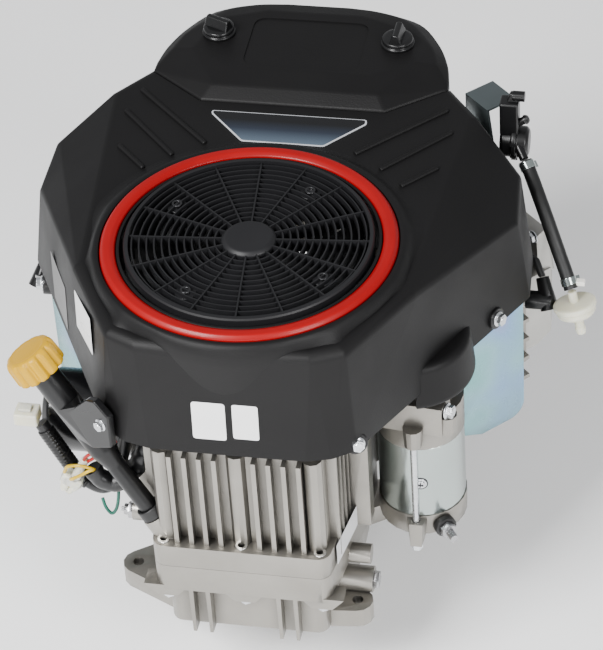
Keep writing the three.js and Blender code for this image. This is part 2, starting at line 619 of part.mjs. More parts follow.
function coverKnob(angle) {
  const [x, y] = turnedBy(angle, 1);
  const at = (along, across, z) => [x * along - y * across, y * along + x * across, z];
  const base = upright(0, 0, 14.5, 0, 6, 16, 12.5);
  const wing = hull([[16, 5, 5], [-16, 5, 5], [16, -5, 5], [-16, -5, 5], [13, 3, 17], [-13, 3, 17],
    [13, -3, 17],
    [-13, -3, 17]].map((p) => at(...p)));
  return join([base, wing]);
}

const KNOB_X = 82.3;
const KNOB_Y = 285.8;
const KNOB_Z = 357.3;

add('air_cleaner_base', airCleanerBase(), blackPlastic());
add('air_element', block([-84, 84], [225, 320], [294.3, 332]), filterPaper());
add('air_cleaner_cover', airCleanerCover(), blackPlastic());
for (const [side, x, angle] of [['left', -KNOB_X, 20], ['right', KNOB_X, 80]]) {
  add(`cover_knob_${side}`, coverKnob(angle), blackPlastic()).position.set(x, KNOB_Y, KNOB_Z);
}

const THROAT_R = 14;
const SPINDLE_R = 2.5;
const THROTTLE = { y: 206, z: 247, r: 10.4 };
const CHOKE = { y: CARB_Y, z: 272, r: 13.2 };

function carburettor() {
  const body = block([-22, 22], [196, CARB_Y + 20], [232, 262]);
  const throat = upright(0, CARB_Y, 20, 262, 281.7, 16);
  const bowl = upright(0, CARB_Y - 4, 20, 208, 233, 14);
  const flange = block([-32, 32], [190.3, 198], [230, 264]);
  const bore = upright(0, CARB_Y, THROAT_R, 240, 283, 16);
  const outlet = bar([0, 189, THROTTLE.z], [0, CARB_Y, THROTTLE.z], THROTTLE.r + 0.6, 16);
  const shaftHoles = [THROTTLE, CHOKE].map(({ y, z }) => bar([-24, y, z], [24, y, z], SPINDLE_R + 0.4, 12));
  return cut(join([body, throat, bowl, flange]), [bore, outlet, ...shaftHoles]);
}

// A butterfly: a disc on its spindle along X, and the lever on the spindle's right end.
function butterfly({ y, z, r }, disc, leverEnd) {
  const spindle = bar([-26, y, z], [30, y, z], SPINDLE_R, 12);
  const lever = hull([...arc(0, 0, 6, 0, 300, 5), leverEnd].flatMap(([u, v]) =>
    [[27, y + u, z + v], [29, y + u, z + v]]));
  return join([spindle, disc(y, z, r), lever]);
}

function intakeManifold() {
  const flange = block([-32, 32], [176, 190], [230, 264]);
  const trunk = upright(0, 168, 13, 222, 256, 12);
  const runners = [['right', 1], ['left', -1]].flatMap(([side, sign]) => {
    const z = CYLINDER_Z[side] + 20;
    return [bar([0, 168, 232], besideBank(sign, 205, HEAD_HALF + 20, z), 10, 10),
      bar(besideBank(sign, 205, HEAD_HALF + 26, z), besideBank(sign, 205, HEAD_HALF + 0.5, z), 13, 12)];
  });
  return join([flange, trunk, ...runners]);
}

const standing = (y, z, r) => bar([0, y - 0.6, z], [0, y + 0.6, z], r, 16);

add('carburettor', carburettor(), castAluminium());
add('throttle_lever', butterfly(THROTTLE, standing, [4, 18]), steel());
add('choke_lever', butterfly(CHOKE, standing, [20, 8]), steel());
add('intake_manifold', intakeManifold(), castAluminium());

// ---- starter motor ----------------------------------------------------------------------------------

const starter = new THREE.Group();
starter.position.set(STARTER.x, STARTER.y, 0);
engine.add(starter);

const THROUGH_BOLT = [0, -41.5];

function driveHousing() {
  const bell = upright(0, 0, 39, YOKE_Z[1] + GAP, 190, 24);
  const neck = upright(0, 0, 30, 188, 209.5, 16);
  const front = hull([[-30, -36, 176], [26, -42, 176], [30, -20, 176], [-30, -20, 176],
    [-30, -38, 209], [26, -44, 209], [30, -20, 209], [-30, -20, 209]]);
  const ear = hull([...arc(29, -33, 9, -120, 60, 5), [10, -10]].flatMap(([x, y]) => [[x, y, 178],
    [x, y, 196]]));
  const boss = bar([...THROUGH_BOLT, 164], [...THROUGH_BOLT, 184], 8, 12, 9);
  const shaftHole = upright(0, 0, 7, 150, 212, 10);
  const boltHoles = [upright(29, -33, 4.6, 170, 200, 10), upright(...THROUGH_BOLT, 3.8, 150, 178, 8)];
  return cut(join([bell, neck, front, ear, boss]), [shaftHole, ...boltHoles]);
}

function yoke() {
  return washer(YOKE_R - 3, YOKE_R, ...YOKE_Z, 24);
}

const TERMINAL_ANGLE = -55;      // degrees, seen from above

function endCap() {
  const bell = upright(0, 0, 39.5, 53, YOKE_Z[0] - GAP, 24);
  const ear = hull([-1, 1].flatMap((side) => [[8 * side, -34, 53], [6 * side, -36, 44], [5 * side, -47, 44],
    [10 * side, -36, YOKE_Z[0] - 2], [6 * side, -47, YOKE_Z[0] - 4]]));
  const [x, y] = turnedBy(TERMINAL_ANGLE, 1);
  const terminalHole = bar([x * 20, y * 20, 62], [x * 42, y * 42, 62], 7.6, 12);
  const bearing = upright(0, 0, 5.6, 56, 76, 10);
  const boltHole = upright(...THROUGH_BOLT, 3.7, 42, 80, 8);
  return cut(join([bell, ear]), [terminalHole, bearing, boltHole]);
}

function armature() {
  return join([upright(0, 0, 5, 57, 240, 10), upright(0, 0, 27, 84, 140, 16),
    upright(0, 0, 16, 77, 85, 12)]);
}

function pinion() {
  const outline = gearOutline(0, 0, PINION_TEETH, STARTER_MODULE, 0);
  const facing = 180 + THREE.MathUtils.radToDeg(Math.atan2(STARTER.y, STARTER.x));
  const meshing = outline.map(([x, y]) => turnedBy(facing + 180 / PINION_TEETH + pinionPhase(), x, y));
  return cut(prism(meshing, ...PINION_Z), [upright(0, 0, 5.7, PINION_Z[0] - 1, PINION_Z[1] + 1, 12)]);
}

// Turns the pinion so that a tooth meets a gap of the ring gear on the line of centres.
function pinionPhase() {
  const line = THREE.MathUtils.radToDeg(Math.atan2(STARTER.y, STARTER.x));
  const pitch = 360 / RING_TEETH;
  const past = line / pitch - Math.floor(line / pitch);
  return past * 360 / PINION_TEETH;
}

function terminal() {
  const [x, y] = turnedBy(TERMINAL_ANGLE, 1);
  const at = (d) => [x * d, y * d, 62];
  return join([bar(at(24), at(62), 4, 8), bar(at(46.5), at(52), 7.5, 6)]);
}

function terminalGrommet() {
  const [x, y] = turnedBy(TERMINAL_ANGLE, 1);
  const at = (d) => [x * d, y * d, 62];
  return cut(join([bar(at(30), at(45), 7.2, 12), bar(at(40), at(46), 10, 16)]),
    [bar(at(29), at(47), 4.6, 8)]);
}

add('starter_drive_housing', driveHousing(), castAluminium(), starter);
add('starter_yoke', yoke(), zincPlate(), starter);
add('starter_end_cap', endCap(), castAluminium(), starter);
add('starter_armature', armature(), steel(), starter);
add('starter_pinion', pinion(), steel(), starter);
add('starter_terminal', terminal(), zincPlate(), starter);
add('terminal_grommet', terminalGrommet(), blackRubber(), starter);
add('starter_through_bolt', join([upright(...THROUGH_BOLT, 3, 43, 174, 8),
  upright(...THROUGH_BOLT, 5.5, 38, 43.7, 6)]),
  steel(), starter);

// ---- oil filter, dipstick and filler tube -------------------------------------------------------------

function oilFilter() {
  const axis = (x) => [x, FILTER.y, FILTER.z];
  return join([bar(axis(-104.3), axis(-108), 22, 12), bar(axis(-107), axis(-114), 34, 24, FILTER.r),
    bar(axis(-114), axis(-186), FILTER.r, 24), bar(axis(-186), axis(-193), FILTER.r, 24, 30)]);
}

// The tube's bracket is a plate parallel to the housing's front left corner wall.
const PLATE = { x: -112.3, y: -129.5, thickness: 7.5, outline: [[-36, 244], [-10.8, 272], [-0.7, 276],
  [14.6, 266],
  [14.6, 232], [-10, 217]], hole: [4.4, 252.5] };

function onPlate(across, z, depth) {
  return [PLATE.x + 0.845 * across + 0.534 * depth, PLATE.y - 0.534 * across + 0.845 * depth, z];
}

function dipstickTube() {
  const lower = bar(alongTube(3.5), alongTube(64), 8.5, 12);
  const upper = bar(alongTube(78), alongTube(TUBE_LENGTH - 14), 12.5, 16);
  const cone = bar(alongTube(62), alongTube(80), 8.5, 16, 12.5);
  const plate = hull(PLATE.outline.flatMap(([u, z]) => [onPlate(u, z, 0), onPlate(u, z, PLATE.thickness)]));
  const [left, high] = PLATE.outline;
  const low = PLATE.outline.at(-1);
  const web = hull([
    ...[left, high, low].flatMap(([u, z]) => [onPlate(u, z, 0), onPlate(u, z, PLATE.thickness)]),
    ...[115, 150].flatMap((d) => [0, 60, 120, 180, 240, 300].map((angle) => aroundTube(d, 12.5, angle)))]);
  const boltHole = bar(onPlate(...PLATE.hole, -1), onPlate(...PLATE.hole, PLATE.thickness + 1), 3.4, 8);
  const bore = bar(alongTube(2), alongTube(TUBE_LENGTH - 12), 6, 10);
  return cut(join([lower, upper, cone, plate, web]), [boltHole, bore]);
}

function tubeCollar() {
  return cut(bar(alongTube(0.3), alongTube(11), 11.5, 16), [bar(alongTube(3.2), alongTube(12), 9, 12),
    bar(alongTube(-6), alongTube(4), 5, 10)]);
}

function oilCap() {
  const crown = bar(alongTube(TUBE_LENGTH - 24), alongTube(TUBE_LENGTH), 23.5, 24, 22);
  const flutes = [];
  for (let i = 0; i < 12; i++) {
    flutes.push(bar(aroundTube(TUBE_LENGTH - 25, 26, 30 * i), aroundTube(TUBE_LENGTH - 6, 26, 30 * i), 4,
      6));
  }
  const socket = bar(alongTube(TUBE_LENGTH - 25), alongTube(TUBE_LENGTH - 8), 13.3, 16);
  return cut(crown, [socket, ...flutes]);
}

add('oil_filter', oilFilter(), blackPlastic());
add('dipstick_tube', dipstickTube(), blackPlastic());
add('tube_collar', tubeCollar(), blackRubber());
add('oil_cap', oilCap(), yellowPlastic());
add('dipstick', bar(alongTube(-34), alongTube(TUBE_LENGTH - 8.3), 2.5, 8), steel());

// ---- fuel pump, hose and filter ------------------------------------------------------------------

const PUMP = [196, 226, 302];           // centre of the pump's drum
const HOSE = [[207.6, 205, 296.5], [213.5, 197, 289], [229.5, 170, 267.5], [244, 150, 240.5],
  [252, 138.5, 226.5],
  [257.5, 130, 215.5]];
const HOSE_END = new THREE.Vector3(...HOSE.at(-1));
const FILTER_AXIS = new THREE.Vector3(0.228, -0.179, -0.957).normalize();
const alongFuelFilter = (d) => HOSE_END.clone().addScaledVector(FILTER_AXIS, d).toArray();

function fuelPump() {
  const [x, y, z] = PUMP;
  const drum = bar([x - 13, y, z], [x + 13, y, z], 14.5, 20);
  const rim = bar([x - 2, y, z], [x + 2, y, z], 17, 20);
  const neck = block([x - 9, x + 3], [y - 7, y + 7], [z + 12, z + 47]);
  const pulse = bar([x - 8, y - 2, z + 15], [x + 12, y - 2, z + 28], 4, 12);
  const lug = bar([x - 2, y + 2, z + 49], [x + 9, y + 2, z + 49], 4.8, 12);
  const ear = hull([[x - 9, y - 4, z + 40], [x + 3, y - 4, z + 40], [x - 9, y + 6, z + 40],
    [x + 3, y + 6, z + 40],
    [x - 4, y - 1, z + 53], [x + 3, y - 1, z + 53], [x - 4, y + 5, z + 53], [x + 3, y + 5, z + 53]]);
  const outlet = bar([200, 216, 305], [206.8, 206, 297.6], 4.5, 10);
  return join([drum, rim, neck, pulse, lug, ear, outlet]);
}

function pumpBracket() {
  const top = prism([[148, 252], [171, 229], [193, 250], [170, 273]], 330, 332);
  const side = hull([[148, 252, 331], [149.5, 253.5, 331], [171, 229, 331], [172.5, 230.5, 331],
    [148, 252, 286], [149.5, 253.5, 286], [177, 222, 290], [178.5, 223.5, 290]]);
  return join([top, side]);
}

function fuelFilter() {
  const at = alongFuelFilter;
  return join([bar(at(2.3), at(14), 4.2, 8), bar(at(13), at(18.5), 19.5, 20),
    bar(at(18), at(26), 18, 20, 15.5),
    bar(at(25), at(46), 4.2, 8)]);
}

add('fuel_pump', fuelPump(), blackPlastic());
add('pump_bracket', pumpBracket(), zincPlate());
add('fuel_hose', tube(HOSE, 6.3, 10, 7), blackRubber());
add('fuel_filter', fuelFilter(), whitePlastic());

// ---- ignition and wiring --------------------------------------------------------------------------

const COIL = { start: 134, end: 164, z: [226, 252] };

for (const [side, sign, angle, front] of [['right', 1, 45, -1], ['left', -1, 135, 1]]) {
  const bank = new THREE.Group();
  bank.rotation.z = THREE.MathUtils.degToRad(angle);
  engine.add(bank);
  add(`ignition_coil_${side}`, block([COIL.start, COIL.end], [-18, 18], COIL.z), blackPlastic(), bank);
  const inBoot = [LEAD_START + GAP, LEAD_START + 11].map((d) => {
    const [x, y, rise] = leadAt(front, d);
    return [...turnedBy(angle, x, y), CYLINDER_Z[side] + rise];
  });
  const lead = [...inBoot, [sign * 216, 169, 217.5], [sign * 204, 172, 219.3], [sign * 189, 168, 224],
    [sign * 168, 150, 234],
    besideBank(sign, COIL.end + 20, 0, 239), besideBank(sign, COIL.end + GAP, 0, 239)];
  add(`plug_lead_${side}`, tube(lead, 3.5, 8, 9), blackRubber());
}

const LOOM = [[-100, -62, 205], [-107, -68, 180], [-114, -71, 150], [-120, -72, 130], [-132, -71, 119],
  [-146, -68, 121], [-158, -64, 130], [-166, -62, 142], [-176, -60, 160], [-186, -58, 178]];
const LOOM_R = 6;
const GROUND_LOOP = [[-116, -79, 141], [-116, -82, 122], [-119, -83, 106], [-124, -83, 99],
  [-129, -82, 105],
  [-132, -79, 113]];
const GROUND_R = 1.5;

add('wiring_loom', tube(LOOM, LOOM_R, 8, 9), blackRubber());
add('connector_main', block([-208, -187], [-66, -48], [179, 192]), whitePlastic());
add('connector_charge', hull([[-166, -92, 141], [-166, -80, 141], [-160, -93, 152], [-160, -80, 152],
  [-150, -92, 131],
  [-150, -80, 131], [-144, -93, 142], [-144, -80, 142]]), whitePlastic());
add('ground_wire', tube(GROUND_LOOP, GROUND_R, 8, 8), finish(0x129a86, 0.5, 0));

export default engine;
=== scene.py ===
"""Looks of a vertical-shaft V-twin gasoline engine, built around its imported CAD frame.

Lengths in this file are millimetres; every mesh is scaled to metres when it is made.
+X is the starter's side, +Y the air cleaner's side and +Z is up along the crankshaft.
"""

import json
import math

import bmesh
import bpy
import numpy
from mathutils import Matrix, Vector

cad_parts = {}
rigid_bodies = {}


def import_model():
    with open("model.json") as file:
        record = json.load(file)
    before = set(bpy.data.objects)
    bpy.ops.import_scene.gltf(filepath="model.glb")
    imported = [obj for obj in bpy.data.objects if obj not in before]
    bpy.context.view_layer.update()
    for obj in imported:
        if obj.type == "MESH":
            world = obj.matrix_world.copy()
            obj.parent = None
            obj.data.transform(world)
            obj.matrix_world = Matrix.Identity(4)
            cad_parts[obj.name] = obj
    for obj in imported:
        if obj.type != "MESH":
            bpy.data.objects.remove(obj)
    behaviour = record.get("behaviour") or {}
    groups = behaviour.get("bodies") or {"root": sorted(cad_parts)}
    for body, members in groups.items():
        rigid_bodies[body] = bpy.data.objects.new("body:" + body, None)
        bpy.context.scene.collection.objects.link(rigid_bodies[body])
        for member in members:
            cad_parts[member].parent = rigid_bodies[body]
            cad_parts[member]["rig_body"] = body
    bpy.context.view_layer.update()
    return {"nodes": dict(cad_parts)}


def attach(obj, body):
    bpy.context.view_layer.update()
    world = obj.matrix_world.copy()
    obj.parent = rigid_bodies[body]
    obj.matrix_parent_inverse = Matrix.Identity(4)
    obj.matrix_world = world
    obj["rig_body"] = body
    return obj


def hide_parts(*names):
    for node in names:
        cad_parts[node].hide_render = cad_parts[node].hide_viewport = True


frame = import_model()
nodes = frame["nodes"]

MM = 0.001

# ---- camera, light and floor ----


def aim(obj, target):
    """Turns a lamp or camera so that its -Z looks at the target."""
    direction = Vector(target) - obj.location
    obj.rotation_euler = direction.to_track_quat("-Z", "Y").to_euler()


CAMERA_ANGLES = (12.83, 41.22, 4.04)
CAMERA_PLACE = (0.50042, -2.02095, 2.08023)
CAMERA_LENS = 177.8
FLOOR_TOP = -81
FLOOR_REACH = (-6000, 6000)


def make_camera():
    """The photograph's own angle: azimuth, elevation and a small roll."""
    azimuth, elevation, roll = (math.radians(v) for v in CAMERA_ANGLES)
    flat = Vector((math.cos(azimuth), math.sin(azimuth), 0))
    back = Vector((math.sin(azimuth) * math.cos(elevation), -math.cos(azimuth) * math.cos(elevation),
                   math.sin(elevation)))
    up = back.cross(flat)
    right = flat * math.cos(roll) - up * math.sin(roll)
    up = flat * math.sin(roll) + up * math.cos(roll)
    camera = bpy.data.objects.new("camera", bpy.data.cameras.new("camera"))
    camera.matrix_world = Matrix((
        (right.x, up.x, back.x, CAMERA_PLACE[0]), (right.y, up.y, back.y, CAMERA_PLACE[1]),
        (right.z, up.z, back.z, CAMERA_PLACE[2]), (0, 0, 0, 1)))
    camera.data.lens = CAMERA_LENS
    camera.data.clip_end = 20
    bpy.context.scene.collection.objects.link(camera)
    bpy.context.scene.camera = camera


def make_lamp(name, place, size, power, target=(0, 0.05, 0.2)):
    lamp = bpy.data.objects.new(name, bpy.data.lights.new(name, "AREA"))
    lamp.data.shape = "RECTANGLE"
    lamp.data.size, lamp.data.size_y = size
    lamp.data.energy = power
    lamp.location = place
    aim(lamp, target)
    bpy.context.scene.collection.objects.link(lamp)


def make_stage():
    world = bpy.data.worlds.new("studio")
    world.use_nodes = True
    background = world.node_tree.nodes["Background"]
    background.inputs["Color"].default_value = (0.80, 0.81, 0.83, 1)
    background.inputs["Strength"].default_value = 0.62
    bpy.context.scene.world = world
    make_lamp("key", (-1.3, -1.75, 2.45), (1.3, 1.3), 200)
    make_lamp("fill", (1.7, -1.5, 1.5), (0.9, 1.3), 58)
    make_lamp("low_front", (-0.1, -2.4, 0.5), (1.6, 0.5), 22)
    floor = solid("floor", slab(FLOOR_REACH, FLOOR_REACH, (FLOOR_TOP - 3, FLOOR_TOP)), None, paper())


# ---- mesh helpers ----


def turned(angle, r, across=0.0):
    """A flat point at an angle in degrees and a radius, then across by so much."""
    a = math.radians(angle)
    return (r * math.cos(a) - across * math.sin(a), r * math.sin(a) + across * math.cos(a))


def hull(points):
    bm = bmesh.new()
    for p in points:
        bm.verts.new(p)
    bmesh.ops.convex_hull(bm, input=bm.verts)
    bmesh.ops.delete(bm, geom=[v for v in bm.verts if not v.link_faces], context="VERTS")
    flat = [e for e in bm.edges if e.is_manifold and e.calc_face_angle() < 0.005]
    bmesh.ops.dissolve_edges(bm, edges=flat, use_verts=False)
    return bm


def slab(xs, ys, zs):
    return hull([(x, y, z) for x in xs for y in ys for z in zs])


def prism(outline, z0, z1):
    bm = bmesh.new()
    low = [bm.verts.new((x, y, z0)) for x, y in outline]
    high = [bm.verts.new((x, y, z1)) for x, y in outline]
    bm.faces.new(low[::-1])
    bm.faces.new(high)
    for i in range(len(low)):
        j = (i + 1) % len(low)
        bm.faces.new((low[i], low[j], high[j], high[i]))
    bmesh.ops.recalc_face_normals(bm, faces=bm.faces)
    return bm


def lathe(profile, segments=96):
    """A profile of (radius, height) points turned about Z. It starts and ends on the axis or closes on itself."""
    closed = profile[0] == profile[-1]
    ring = profile[:-1] if closed else profile
    bm = bmesh.new()
    columns = []
    for i in range(segments):
        angle = 2 * math.pi * i / segments
        columns.append([None if r == 0 else bm.verts.new((r * math.cos(angle), r * math.sin(angle), z))
                        for r, z in ring])
    ends = {k: bm.verts.new((0, 0, z)) for k, (r, z) in enumerate(ring) if r == 0}
    count = len(ring) if closed else len(ring) - 1
    for i in range(segments):
        here, there = columns[i], columns[(i + 1) % segments]
        for k in range(count):
            m = (k + 1) % len(ring)
            corners = [here[k] or ends[k], there[k] or ends[k], there[m] or ends[m], here[m] or ends[m]]
            corners = [v for n, v in enumerate(corners) if v is not corners[n - 1]]
            if len(corners) > 2:
                bm.faces.new(corners)
    bmesh.ops.recalc_face_normals(bm, faces=bm.faces)
    return bm


def rounded(profile, radius, steps=3):
    """The profile with each inner corner replaced by a short curve."""
    made = [profile[0]]
    for before, corner, after in zip(profile, profile[1:], profile[2:]):
        a, c, b = Vector(before), Vector(corner), Vector(after)
        ra = min(radius, (a - c).length * 0.45)
        rb = min(radius, (b - c).length * 0.45)
        p, q = c + (a - c).normalized() * ra, c + (b - c).normalized() * rb
        for i in range(steps + 1):
            t = i / steps
            point = p * (1 - t) ** 2 + c * 2 * t * (1 - t) + q * t ** 2
            made.append(tuple(point))
    return [*made, profile[-1]]


def rounded_loop(outline, radius, steps=4):
    """A closed outline with its corners rounded."""
    wrapped = [outline[-1], *outline, outline[0]]
    return [tuple(p) for p in rounded([Vector(p) for p in wrapped], radius, steps)[1:-1]]


def moved(bm, place=(0, 0, 0), axis=None):
    """The mesh with its Z turned to the axis, then moved."""
    turn = Vector((0, 0, 1)).rotation_difference(Vector(axis)).to_matrix().to_4x4() if axis else Matrix()
    bm.transform(Matrix.Translation(place) @ turn)
    return bm


def rod(start, end, radius, far=None, edge=0.6, segments=48):
    """A round bar with softened ends, between two points."""
    a, b = Vector(start), Vector(end)
    length = (b - a).length
    far = radius if far is None else far
    profile = rounded([(0, 0), (radius, 0), (far, length), (0, length)], edge)
    return moved(lathe(profile, segments), a, b - a)


def joined(*parts):
    bm = bmesh.new()
    for part in parts:
        mesh = bpy.data.meshes.new("joined")
        part.to_mesh(mesh)
        bm.from_mesh(mesh)
        bpy.data.meshes.remove(mesh)
        part.free()
    return bm


def through(points, per=6):
    """A smooth line through the points, as a Catmull-Rom spline."""
    p = [Vector(q) for q in points]
    p = [p[0] * 2 - p[1], *p, p[-1] * 2 - p[-2]]
    line = []
    for i in range(1, len(p) - 2):
        for k in range(per):
            t = k / per
            line.append(0.5 * ((2 * p[i]) + (p[i + 1] - p[i - 1]) * t
                               + (2 * p[i - 1] - 5 * p[i] + 4 * p[i + 1] - p[i + 2]) * t ** 2
                               + (3 * p[i] - p[i - 1] - 3 * p[i + 1] + p[i + 2]) * t ** 3))
    return [*line, p[-2]]


# ---- making pieces ----


def solid(name, bm, body, material, stands_for=(), bevel=0.0, segments=3, smooth=32):
    """A piece from a mesh in millimetres, riding on a body and standing for CAD nodes."""
    bm.transform(Matrix.Scale(MM, 4))
    mesh = bpy.data.meshes.new(name)
    bm.to_mesh(mesh)
    bm.free()
    obj = bpy.data.objects.new(name, mesh)
    bpy.context.scene.collection.objects.link(obj)
    dress(obj, material, bevel, segments, smooth)
    if body:
        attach(obj, body)
        if stands_for:
            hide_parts(*stands_for)
    return obj


def dress(obj, material, bevel=0.0, segments=3, smooth=32):
    """Gives an object its material, softened edges and smooth shading below an angle."""
    obj.data.materials.clear()
    obj.data.materials.append(material)
    if bevel:
        soften = obj.modifiers.new("soften", "BEVEL")
        soften.width = bevel * MM
        soften.segments = segments
        soften.limit_method = "ANGLE"
        soften.angle_limit = math.radians(28)
        soften.use_clamp_overlap = True
        soften.harden_normals = True
    for polygon in obj.data.polygons:
        polygon.use_smooth = True
    if not bevel:
        edges = bmesh.new()
        edges.from_mesh(obj.data)
        for e in edges.edges:
            e.smooth = not (e.is_manifold and e.calc_face_angle() > math.radians(smooth))
        edges.to_mesh(obj.data)
        edges.free()
        weigh = obj.modifiers.new("normals", "WEIGHTED_NORMAL")
        weigh.keep_sharp = True


def flat_copy(node):
    """A CAD node's mesh with its flat faces merged, in millimetres."""
    bm = bmesh.new()
    bm.from_mesh(nodes[node].data)
    bm.transform(Matrix.Scale(1 / MM, 4))
    bmesh.ops.remove_doubles(bm, verts=bm.verts, dist=0.002)
    bmesh.ops.dissolve_limit(bm, angle_limit=math.radians(0.6), verts=bm.verts, edges=bm.edges)
    return bm


def refined(node, material, bevel=1.0, segments=2):
    """A CAD node's own shape, with softened edges."""
    return solid(f"{node}_shell", flat_copy(node), nodes[node]["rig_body"], material, (node,), bevel, segments)


def combined(obj, others, operation):
    """Adds closed meshes, in millimetres, to a piece or cuts them out of it."""
    for bm in others:
        bm.transform(Matrix.Scale(MM, 4))
        mesh = bpy.data.meshes.new("tool")
        bm.to_mesh(mesh)
        bm.free()
        tool = bpy.data.objects.new("tool", mesh)
        bpy.context.scene.collection.objects.link(tool)
        change = obj.modifiers.new("combine", "BOOLEAN")
        change.operation = operation
        change.solver = "EXACT"
        change.object = tool
        graph = bpy.context.evaluated_depsgraph_get()
        result = bpy.data.meshes.new_from_object(obj.evaluated_get(graph))
        obj.modifiers.clear()
        obj.data = result
        bpy.data.objects.remove(tool)


# ---- materials ----


class Shader:
    """A small builder of one Principled material with procedural detail."""

    def __init__(self, name, slot):
        self.material = bpy.data.materials.new(name)
        self.material["slot"] = slot
        self.material.use_nodes = True
        self.tree = self.material.node_tree
        self.out = self.tree.nodes["Principled BSDF"]
        self.place = self.add("ShaderNodeTexCoord").outputs["Object"]
        self.normal = None

    def add(self, kind, **settings):
        node = self.tree.nodes.new(kind)
        for key, value in settings.items():
            setattr(node, key, value)
        return node

    def link(self, a, b):
        self.tree.links.new(a, b)

    def fixed(self, **values):
        """Constants on the shader's own sockets."""
        for key, value in values.items():
            self.out.inputs[key.replace("_", " ")].default_value = value
        return self

    def noise(self, scale, detail=3.0, stretch=(1, 1, 1)):
        """Noise with so many features to the metre, stretched along the axes."""
        mapping = self.add("ShaderNodeMapping")
        mapping.inputs["Scale"].default_value = stretch
        self.link(self.place, mapping.inputs["Vector"])
        noise = self.add("ShaderNodeTexNoise")
        noise.inputs["Scale"].default_value = scale
        noise.inputs["Detail"].default_value = detail
        self.link(mapping.outputs["Vector"], noise.inputs["Vector"])
        return noise.outputs["Fac"]

    def ramp(self, source, stops):
        ramp = self.add("ShaderNodeValToRGB")
        while len(ramp.color_ramp.elements) < len(stops):
            ramp.color_ramp.elements.new(0.5)
        for element, (place, colour) in zip(ramp.color_ramp.elements, stops):
            element.position = place
            element.color = (*colour, 1)
        self.link(source, ramp.inputs["Fac"])
        return ramp.outputs["Color"]

    def between(self, source, low, high, start=0.3, end=0.7):
        span = self.add("ShaderNodeMapRange")
        for key, value in (("From Min", start), ("From Max", end), ("To Min", low), ("To Max", high)):
            span.inputs[key].default_value = value
        self.link(source, span.inputs["Value"])
        return span.outputs["Result"]

    def painted_shade_in_hollows(self, colour, distance, strength):
        """Multiplies a colour by the occlusion of narrow hollows, which paints shade into them."""
        hollow = self.add("ShaderNodeAmbientOcclusion", samples=4)
        hollow.inputs["Distance"].default_value = distance
        mix = self.add("ShaderNodeMix", data_type="RGBA", blend_type="MULTIPLY")
        mix.inputs["Factor"].default_value = strength
        self.link(colour, mix.inputs[6])
        self.link(hollow.outputs["Color"], mix.inputs[7])
        return mix.outputs[2]

    def colour(self, source):
        self.link(source, self.out.inputs["Base Color"])
        return self

    def roughness(self, source):
        self.link(source, self.out.inputs["Roughness"])
        return self

    def bump(self, source, height, strength=1.0):
        bump = self.add("ShaderNodeBump")
        bump.inputs["Strength"].default_value = strength
        bump.inputs["Distance"].default_value = height
        self.link(source, bump.inputs["Height"])
        if self.normal:
            self.link(self.normal, bump.inputs["Normal"])
        self.normal = bump.outputs["Normal"]
        self.link(self.normal, self.out.inputs["Normal"])
        return self


def shades(colour, amount):
    """Two stops around a colour, darker and lighter by a share."""
    return [(0.3, [c * (1 - amount) for c in colour]), (0.7, [min(1, c * (1 + amount)) for c in colour])]


def moulded(name, slot, colour, rough=(0.38, 0.48), grain=0.00006, pitch=1100, shine=0.5):
    """Injection-moulded plastic with a fine spark-eroded texture."""
    s = Shader(name, slot).fixed(Specular_IOR_Level=shine)
    s.colour(s.ramp(s.noise(7, 4), shades(colour, 0.14)))
    s.roughness(s.between(s.noise(16, 5), *rough))
    s.bump(s.noise(pitch, 2), grain)
    s.bump(s.noise(14, 2), 0.0004, 0.25)
    return s.material


def casting(name, slot, colour, rough):
    """Die-cast aluminium: fine granular skin, slow stains and painted shade in its hollows."""
    s = Shader(name, slot).fixed(Metallic=0.85)
    tone = s.ramp(s.noise(18, 6), shades(colour, 0.10))
    # Painted shade: the colour is darkened by ambient occlusion in narrow hollows.
    s.colour(s.painted_shade_in_hollows(tone, 0.012, 0.75))
    s.roughness(s.between(s.noise(60, 5), *rough))
    s.bump(s.noise(900, 3), 0.0001)
    s.bump(s.noise(120, 3), 0.00025, 0.4)
    return s.material


def plated(name, slot, stops, rough=(0.20, 0.34), metal=0.92, streaks=(1, 1, 1)):
    """Zinc plate with a passivation tint that drifts over the sheet."""
    s = Shader(name, slot).fixed(Metallic=metal)
    s.colour(s.ramp(s.noise(9, 2), stops))
    s.roughness(s.between(s.noise(70, 4, streaks), *rough))
    s.bump(s.noise(240, 3, streaks), 0.00004, 0.6)
    return s.material


def machined(name, slot, colour, rough=(0.22, 0.36)):
    """Turned or plated steel with fine marks."""
    s = Shader(name, slot).fixed(Metallic=0.95)
    s.colour(s.ramp(s.noise(45, 4), shades(colour, 0.12)))
    s.roughness(s.between(s.noise(300, 3), *rough))
    s.bump(s.noise(1600, 2), 0.00002)
    return s.material


def rubbery(name, slot, colour, rough):
    """Dull rubber or wire insulation."""
    s = Shader(name, slot)
    s.colour(s.ramp(s.noise(60, 4), shades(colour, 0.25)))
    s.roughness(s.between(s.noise(120, 4), *rough))
    s.bump(s.noise(1400, 2), 0.00005)
    return s.material


def glossy(name, slot, colour, rough):
    """Smooth gloss plastic with slight flow marks."""
    s = Shader(name, slot).fixed(Coat_Weight=0.08, Coat_Roughness=0.14, Specular_IOR_Level=0.22)
    s.colour(s.ramp(s.noise(20, 3), shades(colour, 0.06)))
    s.roughness(s.between(s.noise(40, 4), *rough))
    s.bump(s.noise(35, 2), 0.00012, 0.3)
    return s.material


